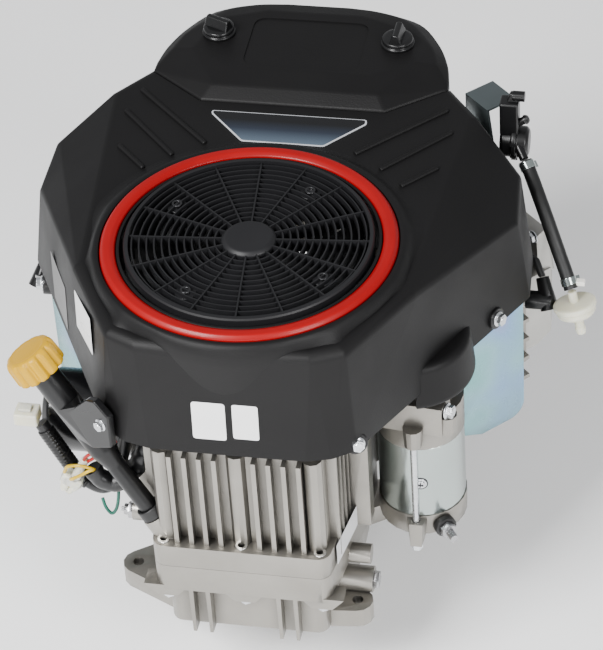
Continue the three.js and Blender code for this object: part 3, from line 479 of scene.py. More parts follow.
def faded(name, slot, low, high, stops):
    """Printed foil whose colour changes along Y."""
    s = Shader(name, slot).fixed(Specular_IOR_Level=0.4)
    axes = s.add("ShaderNodeSeparateXYZ")
    s.link(s.place, axes.inputs["Vector"])
    s.colour(s.ramp(s.between(axes.outputs["Y"], 0, 1, low, high), stops))
    s.roughness(s.between(s.noise(60, 4), 0.22, 0.34))
    s.bump(s.noise(90, 2), 0.00002, 0.5)
    return s.material


def milky(name, slot, colour):
    """Translucent nylon."""
    s = Shader(name, slot).fixed(Subsurface_Weight=0.6, Subsurface_Radius=(0.012, 0.011, 0.008),
                                 Subsurface_Scale=1.0, Transmission_Weight=0.18)
    s.colour(s.ramp(s.noise(60, 3), shades(colour, 0.07)))
    s.roughness(s.between(s.noise(150, 3), 0.32, 0.46))
    s.bump(s.noise(500, 2), 0.00004)
    return s.material


def paper():
    """The pale backdrop."""
    s = Shader("backdrop_paper", "none")
    s.colour(s.ramp(s.noise(3, 2), [(0.3, (0.93, 0.93, 0.93)), (0.7, (0.96, 0.96, 0.96))]))
    s.roughness(s.between(s.noise(40, 3), 0.75, 0.85))
    s.bump(s.noise(400, 2), 0.00005)
    return s.material


BLACK = moulded("housing_plastic", "black_plastic", (0.0042, 0.0040, 0.0042), (0.46, 0.56), 0.00014, 800, 0.20)
BLACK_SMOOTH = moulded("smooth_black_plastic", "black_plastic", (0.004, 0.004, 0.0043), (0.24, 0.34), 0.00002,
                       shine=0.4)
FAN_BLACK = moulded("fan_nylon", "black_plastic", (0.008, 0.008, 0.009), (0.40, 0.50), 0.00002, shine=0.28)
BLACK_PAINT = moulded("filter_paint", "black_paint", (0.004, 0.004, 0.0045), (0.18, 0.26), 0.00001, 300)
RED = glossy("ring_red", "red_plastic", (0.235, 0.0, 0.0015), (0.34, 0.42))
YELLOW = glossy("cap_yellow", "yellow_plastic", (0.46, 0.255, 0.0), (0.34, 0.42))
CAST = casting("die_cast_aluminium", "cast_aluminium", (0.305, 0.29, 0.262), (0.28, 0.40))
CAST_PALE = casting("blasted_aluminium", "cast_aluminium", (0.52, 0.51, 0.48), (0.42, 0.56))
TINT_LEFT = plated("left_baffle_zinc", "zinc_plate", [
    (0.32, (0.16, 0.47, 0.38)), (0.46, (0.26, 0.52, 0.46)), (0.60, (0.21, 0.43, 0.50)), (0.72, (0.29, 0.37, 0.54))])
TINT_RIGHT = plated("right_baffle_zinc", "zinc_plate", [
    (0.32, (0.16, 0.40, 0.36)), (0.44, (0.25, 0.43, 0.48)), (0.54, (0.23, 0.36, 0.54)), (0.64, (0.32, 0.26, 0.49)),
    (0.74, (0.25, 0.40, 0.48))])
ZINC = plated("yoke_zinc", "zinc_plate", shades((0.43, 0.48, 0.465), 0.07), (0.14, 0.22), 0.97, (1, 1, 0.08))
# Zinc plate whose base colour is darkened to paint in the dark reflection the bracket shows.
BRACKET = plated("bracket_zinc", "zinc_plate", shades((0.13, 0.155, 0.16), 0.10), (0.30, 0.42), 0.9)
BOLT = machined("bolt_zinc", "steel", (0.66, 0.68, 0.70), (0.20, 0.30))
PAD = machined("milled_pad", "cast_aluminium", (0.70, 0.69, 0.66), (0.20, 0.30))
STEEL = machined("steel", "steel", (0.42, 0.42, 0.43))
IRON = machined("dark_iron", "steel", (0.035, 0.035, 0.036), (0.45, 0.60))
DARK_STEEL = machined("blackened_steel", "steel", (0.06, 0.06, 0.063), (0.30, 0.40))
RUBBER = rubbery("black_rubber", "black_rubber", (0.005, 0.005, 0.005), (0.42, 0.56))
TAPE = rubbery("black_tape", "black_rubber", (0.005, 0.005, 0.0055), (0.30, 0.42))
MILKY = milky("milky_nylon", "white_plastic", (0.74, 0.72, 0.58))
WHITE = moulded("connector_white", "white_plastic", (0.74, 0.73, 0.68), (0.34, 0.44), 0.00002)
GREEN = rubbery("green_insulation", "green_wire", (0.0, 0.085, 0.055), (0.30, 0.40))
RED_WIRE = rubbery("red_insulation", "red_plastic", (0.30, 0.0, 0.0), (0.26, 0.36))
YELLOW_WIRE = rubbery("yellow_insulation", "yellow_plastic", (0.50, 0.32, 0.0), (0.26, 0.36))
BADGE = faded("badge_navy", "black_plastic", 0.147, 0.186, [
    (0.0, (0.065, 0.090, 0.12)), (0.45, (0.012, 0.017, 0.028)), (0.75, (0.003, 0.0032, 0.004))])
STICKER = moulded("blank_label", "white_plastic", (0.78, 0.78, 0.78), (0.26, 0.34), 0.000005, 300)
FOIL = moulded("silver_foil", "zinc_plate", (0.42, 0.43, 0.45), (0.30, 0.40), 0.000005, 300)
FILM = moulded("clear_film", "black_plastic", (0.045, 0.044, 0.043), (0.30, 0.38), 0.00001, 300)
SILVER_STICKER = moulded("blank_plate", "zinc_plate", (0.60, 0.60, 0.61), (0.30, 0.40), 0.000005, 300)
PAPER = moulded("filter_paper", "filter_paper", (0.70, 0.56, 0.34), (0.8, 0.9), 0.0001, 700)


# ---- cords ----

HOSE = [(207.6, 205, 296.5), (213.5, 197, 289), (229.5, 170, 267.5), (244, 150, 240.5), (252, 138.5, 226.5),
        (257.5, 130, 215.5)]
HOSE_R = 6.3
LOOM = [(-100, -62, 205), (-107, -68, 180), (-114, -71, 150), (-120, -72, 130), (-132, -71, 119), (-146, -68, 121),
        (-158, -64, 130), (-166, -62, 142), (-176, -60, 160), (-186, -58, 178)]
LOOM_R = 6
GROUND = [(-116, -79, 141), (-116, -82, 122), (-119, -83, 106), (-124, -83, 99), (-129, -82, 105), (-132, -79, 113)]
GROUND_R = 1.5
WIRE_R = 1.5
BUNDLE = [(-134.4, -90, 159.5), (-128.2, -90, 149.3), (-118.6, -88, 142.5), (-108, -86, 145.4), (-98.5, -84, 156.7),
          (-91.5, -82, 170.1), (-85.3, -80, 185.6)]
RED_UPPER = [(-142, -91, 166), (-136.9, -94, 177), (-128.1, -95, 184.1), (-116.5, -93, 190.7), (-110, -88, 193)]
RED_LOWER = [(-141, -90, 162), (-137, -92, 169), (-132.3, -93, 173.4), (-126.7, -92, 179), (-120, -86, 183)]
YELLOW_UPPER = [(-160, -90, 152), (-154.3, -95, 164), (-142.8, -97, 168), (-133.2, -95, 163.9), (-130, -91, 158)]
YELLOW_LOWER = [(-156, -88, 142), (-152, -96, 150), (-144, -98, 156.8), (-134, -96, 162.5), (-130, -91, 157)]


def cord(name, points, radius, material, node):
    """A smooth round cord along the points."""
    line = [p * MM for p in through(points)]
    curve = bpy.data.curves.new(name, "CURVE")
    curve.dimensions = "3D"
    curve.bevel_depth = radius * MM
    curve.bevel_resolution = 8
    curve.use_fill_caps = True
    spline = curve.splines.new("POLY")
    spline.points.add(len(line) - 1)
    for point, place in zip(spline.points, line):
        point.co = (*place, 1)
    spline.use_smooth = True
    obj = bpy.data.objects.new(name, curve)
    bpy.context.scene.collection.objects.link(obj)
    curve.materials.append(material)
    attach(obj, "engine")
    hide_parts(node)
    return obj


# ---- shared hardware ----


def hexagon(radius):
    return [turned(60 * i, radius) for i in range(6)]


def flange_bolt(name, place, axis, size):
    """A hexagon flange bolt's head, with its axis pointing out of the work."""
    flange = lathe(rounded([(0, 0), (size * 1.15, 0), (size * 1.15, 1.2), (size * 0.85, 2.2), (0, 2.2)], 0.4), 40)
    head = prism(hexagon(size * 0.92), 1.8, size * 0.95)
    dish = lathe([(0, size * 0.94), (size * 0.62, size * 0.94), (size * 0.55, size * 1.02), (0, size * 0.98)], 32)
    return solid(name, moved(joined(flange, head, dish), place, axis), "engine", BOLT, bevel=0.35, segments=2)


def sticker(name, place, across, out, outline, material, radius=1.8):
    """A thin blank label on a wall; its outline is measured across and up the wall from the place."""
    z = Vector(out).normalized()
    x = (Vector(across) - z * z.dot(Vector(across))).normalized()
    y = z.cross(x)
    frame_of_wall = Matrix((x, y, z)).transposed().to_4x4()
    bm = prism(rounded_loop(outline, radius), 0.05, 0.3)
    bm.transform(Matrix.Translation(place) @ frame_of_wall)
    return solid(name, bm, "engine", material)


def oblong(width, height):
    return [(-width / 2, -height / 2), (width / 2, -height / 2), (width / 2, height / 2), (-width / 2, height / 2)]


# ---- blower housing ----

TOP_Z = 344
EASE = 10
WALL = 3
OPENING_R = 112
BULGE_PLACE = (131.5, 12, 0)
HOUSING_TOP = [(33, -130), (74, -127), (101, -115), (147.4, -33.5), (164.5, 204), (132, 250)]
SHOULDER = [(214, 109, 304), (210, 162.5, 315.5)]
HOUSING_LOW = [(33, -137.5, 235.5), (66, -137.5, 236), (88, -133, 237), (107, -121, 237.5), (224, 105, 224.5),
               (220, 160, 224), (172, 222, 226), (142, 250, 232)]


def both_sides(points):
    """The points and their mirror images in X."""
    return [(s * p[0], *p[1:]) for p in points for s in (1, -1)]


def inwards(point, inset):
    """A point moved towards the housing's middle axis, and down from the top."""
    x, y, z = point
    share = 1 - inset / math.hypot(x, y - 50)
    return (x * share, 50 + (y - 50) * share, z - inset if z > 300 else z)


def softened(bm, radius, steps=3, above=-math.inf):
    """Rounds the sharp edges whose two ends are both above a height."""
    edges = [e for e in bm.edges if e.calc_face_angle() > 0.15 and min(v.co.z for v in e.verts) > above]
    bmesh.ops.bevel(bm, geom=edges, offset=radius, segments=steps, profile=0.5, affect="EDGES",
                    clamp_overlap=True)
    return bm


def eased_hull(points, rim, radius):
    """The convex hull of the points and the rim, with rounded edges that die out at the rim's height."""
    bm = hull([*points, *rim])
    ball = bmesh.new()
    bmesh.ops.create_icosphere(ball, subdivisions=3, radius=radius)
    ball_points = [v.co.copy() for v in ball.verts]
    ball.free()
    circle = [Vector((radius * math.cos(math.radians(a)), radius * math.sin(math.radians(a)), 0))
              for a in range(0, 360, 15)]
    rim_places = {tuple(round(c, 2) for c in p) for p in rim}
    made = []
    for v in bm.verts:
        on_rim = tuple(round(c, 2) for c in v.co) in rim_places
        planes = [f.normal for f in v.link_faces if not (on_rim and f.normal.z < -0.4)]
        offset = Vector(numpy.linalg.lstsq(numpy.array(planes), [-radius] * len(planes), rcond=0.2)[0])
        for _ in range(40):
            for plane in planes:
                offset -= plane * max(0, plane.dot(offset) + radius)
        if on_rim:
            offset.z = 0
        made += [v.co + offset + p for p in (circle if on_rim else ball_points)]
    bm.free()
    return hull(made)


def mirrored(half):
    """A closed outline from its right half."""
    return [*half, *[(-x, y) for x, y in reversed(half)]]


def flat_curve(points, per=5):
    """A smooth line through flat points."""
    return [tuple(p.xy) for p in through([(*p, 0) for p in points], per)]


COVER_REAR = [(134, 251), (129, 276), (117, 305), (96, 333), (62, 344.7), (30, 347.9)]
COVER_OUTLINE = mirrored([(83, 200.6), (134.5, 239), *flat_curve(COVER_REAR)])
COVER_TOP_REAR = [(119.7, 268), (113, 288), (102, 306), (84, 327), (56, 338), (28, 341.5)]
COVER_TOP = mirrored([(75, 214), (121, 262), *flat_curve(COVER_TOP_REAR)])


def cover_outline(dx, dy):
    """The cover's outline, grown sideways and lengthways by so many millimetres."""
    return [(x * (1 + dx / 134), 275 + (y - 275) * (1 + dy / 72)) for x, y in COVER_OUTLINE]


def make_housing():
    points = both_sides([(x, y, TOP_Z) for x, y in HOUSING_TOP] + SHOULDER)
    rim = both_sides(HOUSING_LOW)
    shell = solid("housing_shell", eased_hull(points, rim, EASE), "engine", BLACK, ("blower_housing",))
    bulge = rounded([(0, 214), (57, 214), (52.5, 258), (0, 258)], 7, 5)
    combined(shell, [moved(lathe(bulge, 96), BULGE_PLACE)], "UNION")
    inner = hull([inwards(p, WALL) for p in [*points, *rim]] + [(*inwards(p, WALL)[:2], 150) for p in rim])
    inner_bulge = lathe([(0, 205), (54, 205), (49.5, 255), (0, 255)], 96)
    opening = lathe([(0, 330), (OPENING_R, 330), (OPENING_R, 360), (0, 360)], 128)
    cuts = [inner, moved(inner_bulge, BULGE_PLACE), opening, prism(cover_outline(1, 1), 335.3, 380),
            prism(cover_outline(-7, -7), 288, 345)]
    combined(shell, cuts, "DIFFERENCE")
    dress(shell, BLACK)


LIP_R = 130.5
LIP_TOP = 354.5
LIP_NEAR = [(133.0, 300), (134.6, 318), (136.6, 333), (137.2, 343), (136.2, 349), (133.6, 353), (130.5, 354.5)]
LIP_FAR = [(153, 343.7), (147.5, 344.2), (143, 345.6), (139.6, 348), (136.6, 351), (133.6, 353.7), (130.5, 354.5)]
LIP_INNER = [(128, 354.3), (127.4, 353.6), (127.4, 343), (112.6, 343), (112.6, 354.4), (112, 355), (110, 355),
             (109.5, 354.4), (109.5, 338)]
LIP_COLUMNS = 180
LIP_NARROW = 129
LIP_CHANGE = 26


def wall_distance(angle):
    """How far the edge of the housing's top is from the crankshaft's axis in a direction."""
    along = Vector((math.cos(angle), math.sin(angle)))
    ring = both_sides([(x, y, 0) for x, y in HOUSING_TOP])
    ring = sorted({p[:2] for p in ring}, key=lambda p: math.atan2(p[1], p[0]))
    reach = []
    for a, b in zip(ring, [*ring[1:], ring[0]]):
        side = Vector(b) - Vector(a)
        cross = along.x * side.y - along.y * side.x
        if abs(cross) > 1e-6:
            share = (a[0] * side.y - a[1] * side.x) / cross
            spot = (a[0] * along.y - a[1] * along.x) / cross
            if share > 0 and -0.001 <= spot <= 1.001:
                reach.append(share)
    return min(reach)


def make_lip():
    """The raised lip around the fan's opening: narrow where the wall is near, and wide where it is far."""
    bm = bmesh.new()
    rows = []
    for i in range(LIP_COLUMNS):
        angle = 2 * math.pi * i / LIP_COLUMNS
        wall = wall_distance(angle)
        far = min(1, max(0, (wall - LIP_NARROW) / LIP_CHANGE))
        far = far * far * (3 - 2 * far)
        spread = min(1, (wall - 5 - LIP_R) / (LIP_FAR[0][0] - LIP_R))
        outer = []
        for near, (r, z) in zip(LIP_NEAR, LIP_FAR):
            r = LIP_R + (r - LIP_R) * max(0.3, spread)
            inset = min(EASE, max(0, wall - r))
            drop = EASE - math.sqrt(EASE ** 2 - (EASE - inset) ** 2)
            z -= drop * (LIP_TOP - z) / (LIP_TOP - TOP_Z)
            outer.append((near[0] + (r - near[0]) * far, near[1] + (z - near[1]) * far))
        rows.append([bm.verts.new((r * math.cos(angle), r * math.sin(angle), z)) for r, z in [*outer, *LIP_INNER]])
    for here, there in zip(rows, [*rows[1:], rows[0]]):
        for k in range(len(here)):
            m = (k + 1) % len(here)
            bm.faces.new((here[k], here[m], there[m], there[k]))
    bmesh.ops.recalc_face_normals(bm, faces=bm.faces)
    solid("housing_lip", bm, "engine", BLACK, smooth=50)


def make_housing_details():
    strips = (((66.5, 139), (139, 210)), ((92, 119.5), (147, 178.5)), ((113.5, 99), (142, 128)))
    for side in (1, -1):
        for i, (a, b) in enumerate(strips):
            strip = rod((side * a[0], a[1], TOP_Z + 0.4), (side * b[0], b[1], TOP_Z + 0.4), 2.4, edge=2.2)
            solid(f"strip_{'right' if side > 0 else 'left'}_{i + 1}", strip, "engine", BLACK)
    border = [(-36, 146.2), (38, 146.2), (70.6, 181.5), (69.6, 187.8), (-69.8, 187.2), (-70, 183)]
    face = [(-35.3, 147.4), (37.2, 147.4), (68.9, 181.8), (68.2, 186.6), (-68.4, 186), (-68.5, 183.2)]
    solid("badge_plate", prism(rounded_loop(border, 2.4), TOP_Z - 1, TOP_Z + 0.7), "engine", FOIL, bevel=0.3)
    solid("badge_face", prism(rounded_loop(face, 2), TOP_Z + 0.6, TOP_Z + 0.9), "engine", BADGE)


# ---- trim ring and fan screen ----

SCREEN_R = 106.2
SCREW_ANGLES = (60.3, 150.3, 240.3, 330.3)
SCREW_CIRCLE = 81
GRILLE_RINGS = 12
GRILLE_PITCH = 6.4
SPOKES = 16
SPOKE_TURN = 4.6
DUCT_R = 128.5


def make_ring():
    profile = rounded([(113.2, 344.5), (126.6, 344.5), (126.6, 354.5), (123.5, 358), (117.5, 358), (113.2, 355.5),
                       (113.2, 344.5)], 1.6, 4)
    solid("red_ring", lathe(profile, 160), "engine", RED, ("trim_ring",), smooth=50)


def make_duct_wall():
    """The fan duct's dark back wall, which closes the view through the screen to the floor."""
    outer = [turned(angle, DUCT_R) for angle in range(10, 171, 5)]
    inner = [turned(angle, DUCT_R - 2) for angle in range(170, 9, -5)]
    solid("duct_wall", prism(outer + inner, 282, 338), "engine", BLACK)


def make_screen():
    """The round grille that turns with the fan, with its hub, rings, spokes and four screws."""
    parts = [lathe(rounded([(0, 350), (23.5, 350), (23.5, 357), (20, 360), (8, 359.2), (0, 359)], 1.5), 64)]
    parts.append(lathe([(SCREEN_R - 4, 350), (SCREEN_R, 350), (SCREEN_R, 358), (SCREEN_R - 1, 359.5),
                        (SCREEN_R - 4, 359.5), (SCREEN_R - 4, 350)], 144))
    for i in range(GRILLE_RINGS):
        r = 29 + GRILLE_PITCH * i
        parts.append(lathe([(r - 1, 350.5), (r + 1, 350.5), (r + 0.6, 357), (r - 0.6, 357), (r - 1, 350.5)], 112))
    for i in range(SPOKES):
        angle = 360 / SPOKES * i + SPOKE_TURN
        corners = [(*turned(angle, r, w), z) for r in (21, SCREEN_R - 2)
                   for w, z in ((-1.1, 345), (1.1, 345), (-0.7, 357.6), (0.7, 357.6))]
        parts.append(hull(corners))
    for angle in SCREW_ANGLES:
        pad = lathe(rounded([(0, 348), (9, 348), (9, 354), (0, 354)], 0.8), 32)
        parts.append(moved(pad, (*turned(angle, SCREW_CIRCLE), 0)))
    solid("screen_grille", joined(*parts), "rotor", FAN_BLACK, ("fan_screen",))
    for i, angle in enumerate(SCREW_ANGLES):
        profile = rounded([(0, 353.6), (4.6, 353.6), (4.6, 357), (2.6, 357.2), (2.4, 355), (0, 355)], 0.5)
        screw = moved(lathe(profile, 32), (*turned(angle, SCREW_CIRCLE), 0))
        solid(f"screen_screw_{i + 1}", screw, "rotor", DARK_STEEL)


# ---- air cleaner ----


def make_cover():
    crown = [(64, 236), (102, 260), (86, 308), (44, 324)]
    points = [(x, y, z) for x, y in COVER_OUTLINE for z in (336.4, 345)]
    points += [(x, y, 353) for x, y in COVER_TOP] + both_sides([(x, y, 357) for x, y in crown])
    shape = softened(hull(points), 2, above=344)
    shell = solid("cover_shell", shape, "air_cover", BLACK, ("air_cleaner_cover",))
    recess = rounded_loop([(-53, 240), (53, 240), (53, 313), (-53, 313)], 13, 6)
    room = hull([(*p, z) for p in cover_outline(-5, -5) for z in (330, 338)]
                + [(*p, 348) for p in cover_outline(-34, -20)])
    combined(shell, [room, prism(recess, 356, 370)], "DIFFERENCE")
    dress(shell, BLACK, smooth=24)


KNOB_X = 82.3
KNOB_Y = 285.8


def make_knob(side, x, angle):
    base = lathe(rounded([(0, 357.3), (15.2, 357.3), (15.2, 359.6), (13.6, 360.4), (14.4, 361.4), (13.8, 364.2),
                          (11, 365.2), (0, 365.4)], 0.9), 72)
    levels = ((12.5, 6.5, 363), (11.5, 3.2, 367), (11.6, 2.3, 373.6))
    wing = softened(hull([(*turned(angle, end, w), z) for r, half, z in levels for end in (r, -r)
                          for w in (half, -half)]), 1.4)
    solid(f"knob_{side}", moved(joined(base, wing), (x, KNOB_Y, 0)), f"knob_{side}", BLACK_SMOOTH,
          (f"cover_knob_{side}",))


# ---- castings and the CAD's own shapes ----


def make_refined():
    """Makes the pieces that keep their CAD shape, with softened edges."""
    for node in ("crankcase", "sump", "starter_drive_housing", "starter_end_cap", "carburettor", "intake_manifold"):
        refined(node, CAST, 1.3, 3)
    for side in ("right", "left"):
        for node in ("cylinder", "head"):
            refined(f"{node}_{side}", CAST, 0.5, 2)
        refined(f"rocker_cover_{side}", CAST_PALE, 3.5, 4)
        refined(f"baffle_{side}", TINT_LEFT if side == "left" else TINT_RIGHT, 0.7, 2)
        refined(f"spark_plug_{side}", WHITE, 0.4, 2)
        refined(f"plug_boot_{side}", BLACK_SMOOTH, 1.2, 3)
        refined(f"plug_lead_{side}", RUBBER)
        refined(f"piston_{side}", CAST_PALE, 0.5, 2)
        refined(f"ignition_coil_{side}", BLACK_SMOOTH, 1.5, 3)
    for node in ("starter_armature", "crankshaft"):
        refined(node, STEEL, 0.7, 2)
    refined("flywheel", IRON, 0.7, 2)
    refined("ring_gear", IRON, 0.25, 2)
    for node in ("camshaft", "starter_pinion", "starter_terminal", "throttle_lever", "choke_lever",
                 "dipstick", "drain_plug", "oil_pressure_switch"):
        refined(node, STEEL, 0.25, 2)
    refined("cooling_fan", FAN_BLACK, 0.6, 2)
    refined("air_cleaner_base", BLACK, 0.6, 2)
    refined("terminal_grommet", RUBBER, 0.8, 2)
    refined("air_element", PAPER, 1.0, 2)
    refined("pump_bracket", BRACKET, 0.35, 2)


BOSS_R = 10.4
BOSS_DEPTH = 9


def make_bolts():
    flange_bolt("rocker_bolt_right", (218, 180.8, 230.3), (-0.707, -0.707, 0), size=5.4)
    for i, x in enumerate((-69, 0, 69)):
        flange_bolt(f"sump_bolt_{i + 1}", (x, -118, 46), (0, 0, -1), size=5.6)
        pad = rounded([(3, 0.2), (5.8, 0.2), (5.4, 1), (3.2, 1), (3, 0.2)], 0.2)
        solid(f"flange_pad_{i + 1}", moved(lathe(pad, 40), (x, -118, 109)), "engine", PAD)
    spots = {
        "front_right": ((107, -117, 241.5), (0.45, -0.86, 0.25)),
        "left_side": ((-218, 94, 206), (-0.95, -0.25, 0.1)),
        "right_side": ((202, 57, 238.5), (0.9, -0.42, 0.1)),
    }
    boss = rounded([(0, -BOSS_DEPTH), (BOSS_R, -BOSS_DEPTH), (BOSS_R * 0.94, 0), (0, 0)], 1.2)
    for name, (place, axis) in spots.items():
        solid(f"housing_boss_{name}", moved(lathe(boss, 48), place, axis), "engine", BLACK_SMOOTH)
        flange_bolt(f"housing_bolt_{name}", place, axis, size=6)
    flange_bolt("starter_mount_bolt", (168, -25, 201), (1, -0.25, 0.1), size=6.6)


# ---- starter motor ----

STARTER_PLACE = (138.8, 10, 0)
YOKE_R = 38.5


def make_starter():
    """The starter's yoke with its cross screw, and the long bolt beside it."""
    profile = rounded([(YOKE_R - 3, 75), (YOKE_R, 75), (YOKE_R, 155), (YOKE_R - 3, 155), (YOKE_R - 3, 75)], 0.6)
    solid("yoke_tube", moved(lathe(profile, 128), STARTER_PLACE), "engine", ZINC, ("starter_yoke",))
    washer = lathe(rounded([(0, 0), (5.8, 0), (5.8, 0.9), (4.4, 1.2), (4.2, 2.4), (0, 2.8)], 0.5), 40)
    cross = [slab((-2.8, 2.8), (-0.5, 0.5), (2.5, 3.3)), slab((-0.5, 0.5), (-2.8, 2.8), (2.5, 3.3))]
    out = (0.115, -0.993, 0)
    sunk = YOKE_R - 0.2
    seat = (STARTER_PLACE[0] + out[0] * sunk, STARTER_PLACE[1] + out[1] * sunk, 114.4)
    solid("yoke_screw", moved(washer, seat, out), "engine", BOLT)
    edge = lathe([(5, 0), (6.8, 0), (6.8, 0.5), (5, 0.5), (5, 0)], 48)
    solid("yoke_screw_edge", moved(edge, seat, out), "engine", DARK_STEEL)
    solid("yoke_screw_cross", moved(joined(*cross), seat, out), "engine", DARK_STEEL)
    shank = joined(lathe([(0, 43), (3, 43), (3, 174), (0, 174)], 32), prism(hexagon(5.4), 38, 43.6))
    solid("through_bolt", moved(shank, (138.8, -31.5, 0)), "engine", BOLT, ("starter_through_bolt",), bevel=0.4)


# ---- oil filter, filler tube and cap ----

TUBE_FOOT = Vector((-78, -105, 125))
TUBE_TOP = Vector((-179.4, -88, 290.7))
TUBE_AXIS = (TUBE_TOP - TUBE_FOOT).normalized()
TUBE_LENGTH = (TUBE_TOP - TUBE_FOOT).length
PLATE_PLACE = Vector((-112.3, -129.5, 0))
PLATE_ACROSS = Vector((0.845, -0.534, 0))
PLATE_IN = Vector((0.534, 0.845, 0))
PLATE = [(-36, 244), (-10.8, 272), (-0.7, 276), (14.6, 266), (14.6, 232), (-10, 217)]
PLATE_DEPTH = 7.5


def along_tube(d):
    return TUBE_FOOT + TUBE_AXIS * d


def on_plate(across, z, depth):
    return PLATE_PLACE + PLATE_ACROSS * across + PLATE_IN * depth + Vector((0, 0, z))


def make_oil_filter():
    profile = rounded([(0, 0.3), (22, 0.3), (22, 3), (34, 3), (37, 9), (37, 82), (30, 89), (0, 89)], 2.5, 4)
    can = moved(lathe(profile, 128), (-104, -8, 150), (-1, 0, 0))
    solid("filter_can", can, "engine", BLACK_PAINT, ("oil_filter",))


def make_tube():
    """The oil filler tube with the plate and web that hold it, its bolt and the collar at its foot."""
    end = TUBE_LENGTH
    profile = [(0, 3.5), (8.5, 3.5), (8.5, 62), (12.5, 80), (12.5, end - 14), (0, end - 14)]
    plate = hull([on_plate(u, z, depth) for u, z in PLATE for depth in (0, PLATE_DEPTH)])
    side = TUBE_AXIS.orthogonal().normalized()
    other = TUBE_AXIS.cross(side)
    rings = [along_tube(d) + (side * math.cos(a) + other * math.sin(a)) * 12.3
             for d in (104, 136) for a in (math.radians(k) for k in range(0, 360, 15))]
    web = hull(rings + [on_plate(u, z, depth) for u, z in (PLATE[0], (-24, 256), PLATE[-1])
                      for depth in (1, PLATE_DEPTH - 1)])
    tube = moved(lathe(rounded(profile, 1.5), 96), TUBE_FOOT, TUBE_AXIS)
    shell = solid("filler_tube", tube, "engine", BLACK_SMOOTH, ("dipstick_tube",))
    combined(shell, [softened(plate, 1.6), web], "UNION")
    dress(shell, BLACK_SMOOTH, smooth=26)
    flange_bolt("tube_bolt", on_plate(4.4, 252.5, 1.2), -PLATE_IN, size=5.2)
    collar = rounded([(9, 0.5), (11.5, 0.5), (11.5, 11), (9, 11), (9, 0.5)], 1)
    solid("collar_ring", moved(lathe(collar, 64), TUBE_FOOT, TUBE_AXIS), "engine", RUBBER,
          ("tube_collar",))


def fluted(rings, lobes, depth, segments=240):
    """Stacked rings of (radius, height, share of the flutes' depth), closed at both ends."""
    bm = bmesh.new()
    rows = []
    for r, z, share in rings:
        row = []
        for i in range(segments):
            a = 2 * math.pi * i / segments
            valley = (0.5 - 0.5 * math.cos(lobes * a)) ** 3
            row.append(bm.verts.new(((r - depth * share * valley) * math.cos(a),
                                     (r - depth * share * valley) * math.sin(a), z)))
        rows.append(row)
    for low, high in zip(rows, rows[1:]):
        for i in range(segments):
            j = (i + 1) % segments
            bm.faces.new((low[i], low[j], high[j], high[i]))
    bm.faces.new(rows[0][::-1])
    bm.faces.new(rows[-1])
    return bm


def make_cap():
    """The fluted yellow cap, which moves with the dipstick."""
    rings = [(22, 0, 1), (23.3, 1.2, 1), (23.5, 3, 1), (23.1, 17, 1), (22.4, 20, 0.8), (20.8, 22.4, 0.25),
             (17.4, 23.6, 0), (15.6, 23.2, 0), (14.4, 23.3, 0), (6, 23.9, 0)]
    bm = moved(fluted(rings, 12, 2.6), along_tube(TUBE_LENGTH - 24), TUBE_AXIS)
    solid("cap_crown", bm, "dipstick", YELLOW, ("oil_cap",), smooth=40)


# ---- fuel pump and filter ----

PUMP = (196, 226, 302)
FILTER_AXIS = Vector((0.228, -0.179, -0.957)).normalized()
CLAMP_WIDTH = 6.8
CRIMP_SIDES = (-2.8, 2.8)


def clamp(name, at, axis):
    """A spring clamp around the hose, with two ears."""
    half = CLAMP_WIDTH / 2
    outer = HOSE_R + 0.9
    profile = [(HOSE_R, -half), (outer, -half), (outer, half), (HOSE_R, half), (HOSE_R, -half)]
    band = lathe(rounded(profile, 0.3), 64)
    ears = [hull([(HOSE_R - 0.5 + dx, dy, dz) for dx in (0, 7) for dy in (y, y + 1.2) for dz in (-3, 3)])
            for y in (-3.2, 2)]
    solid(name, moved(joined(band, *ears), at, axis), "engine", ZINC, smooth=30)


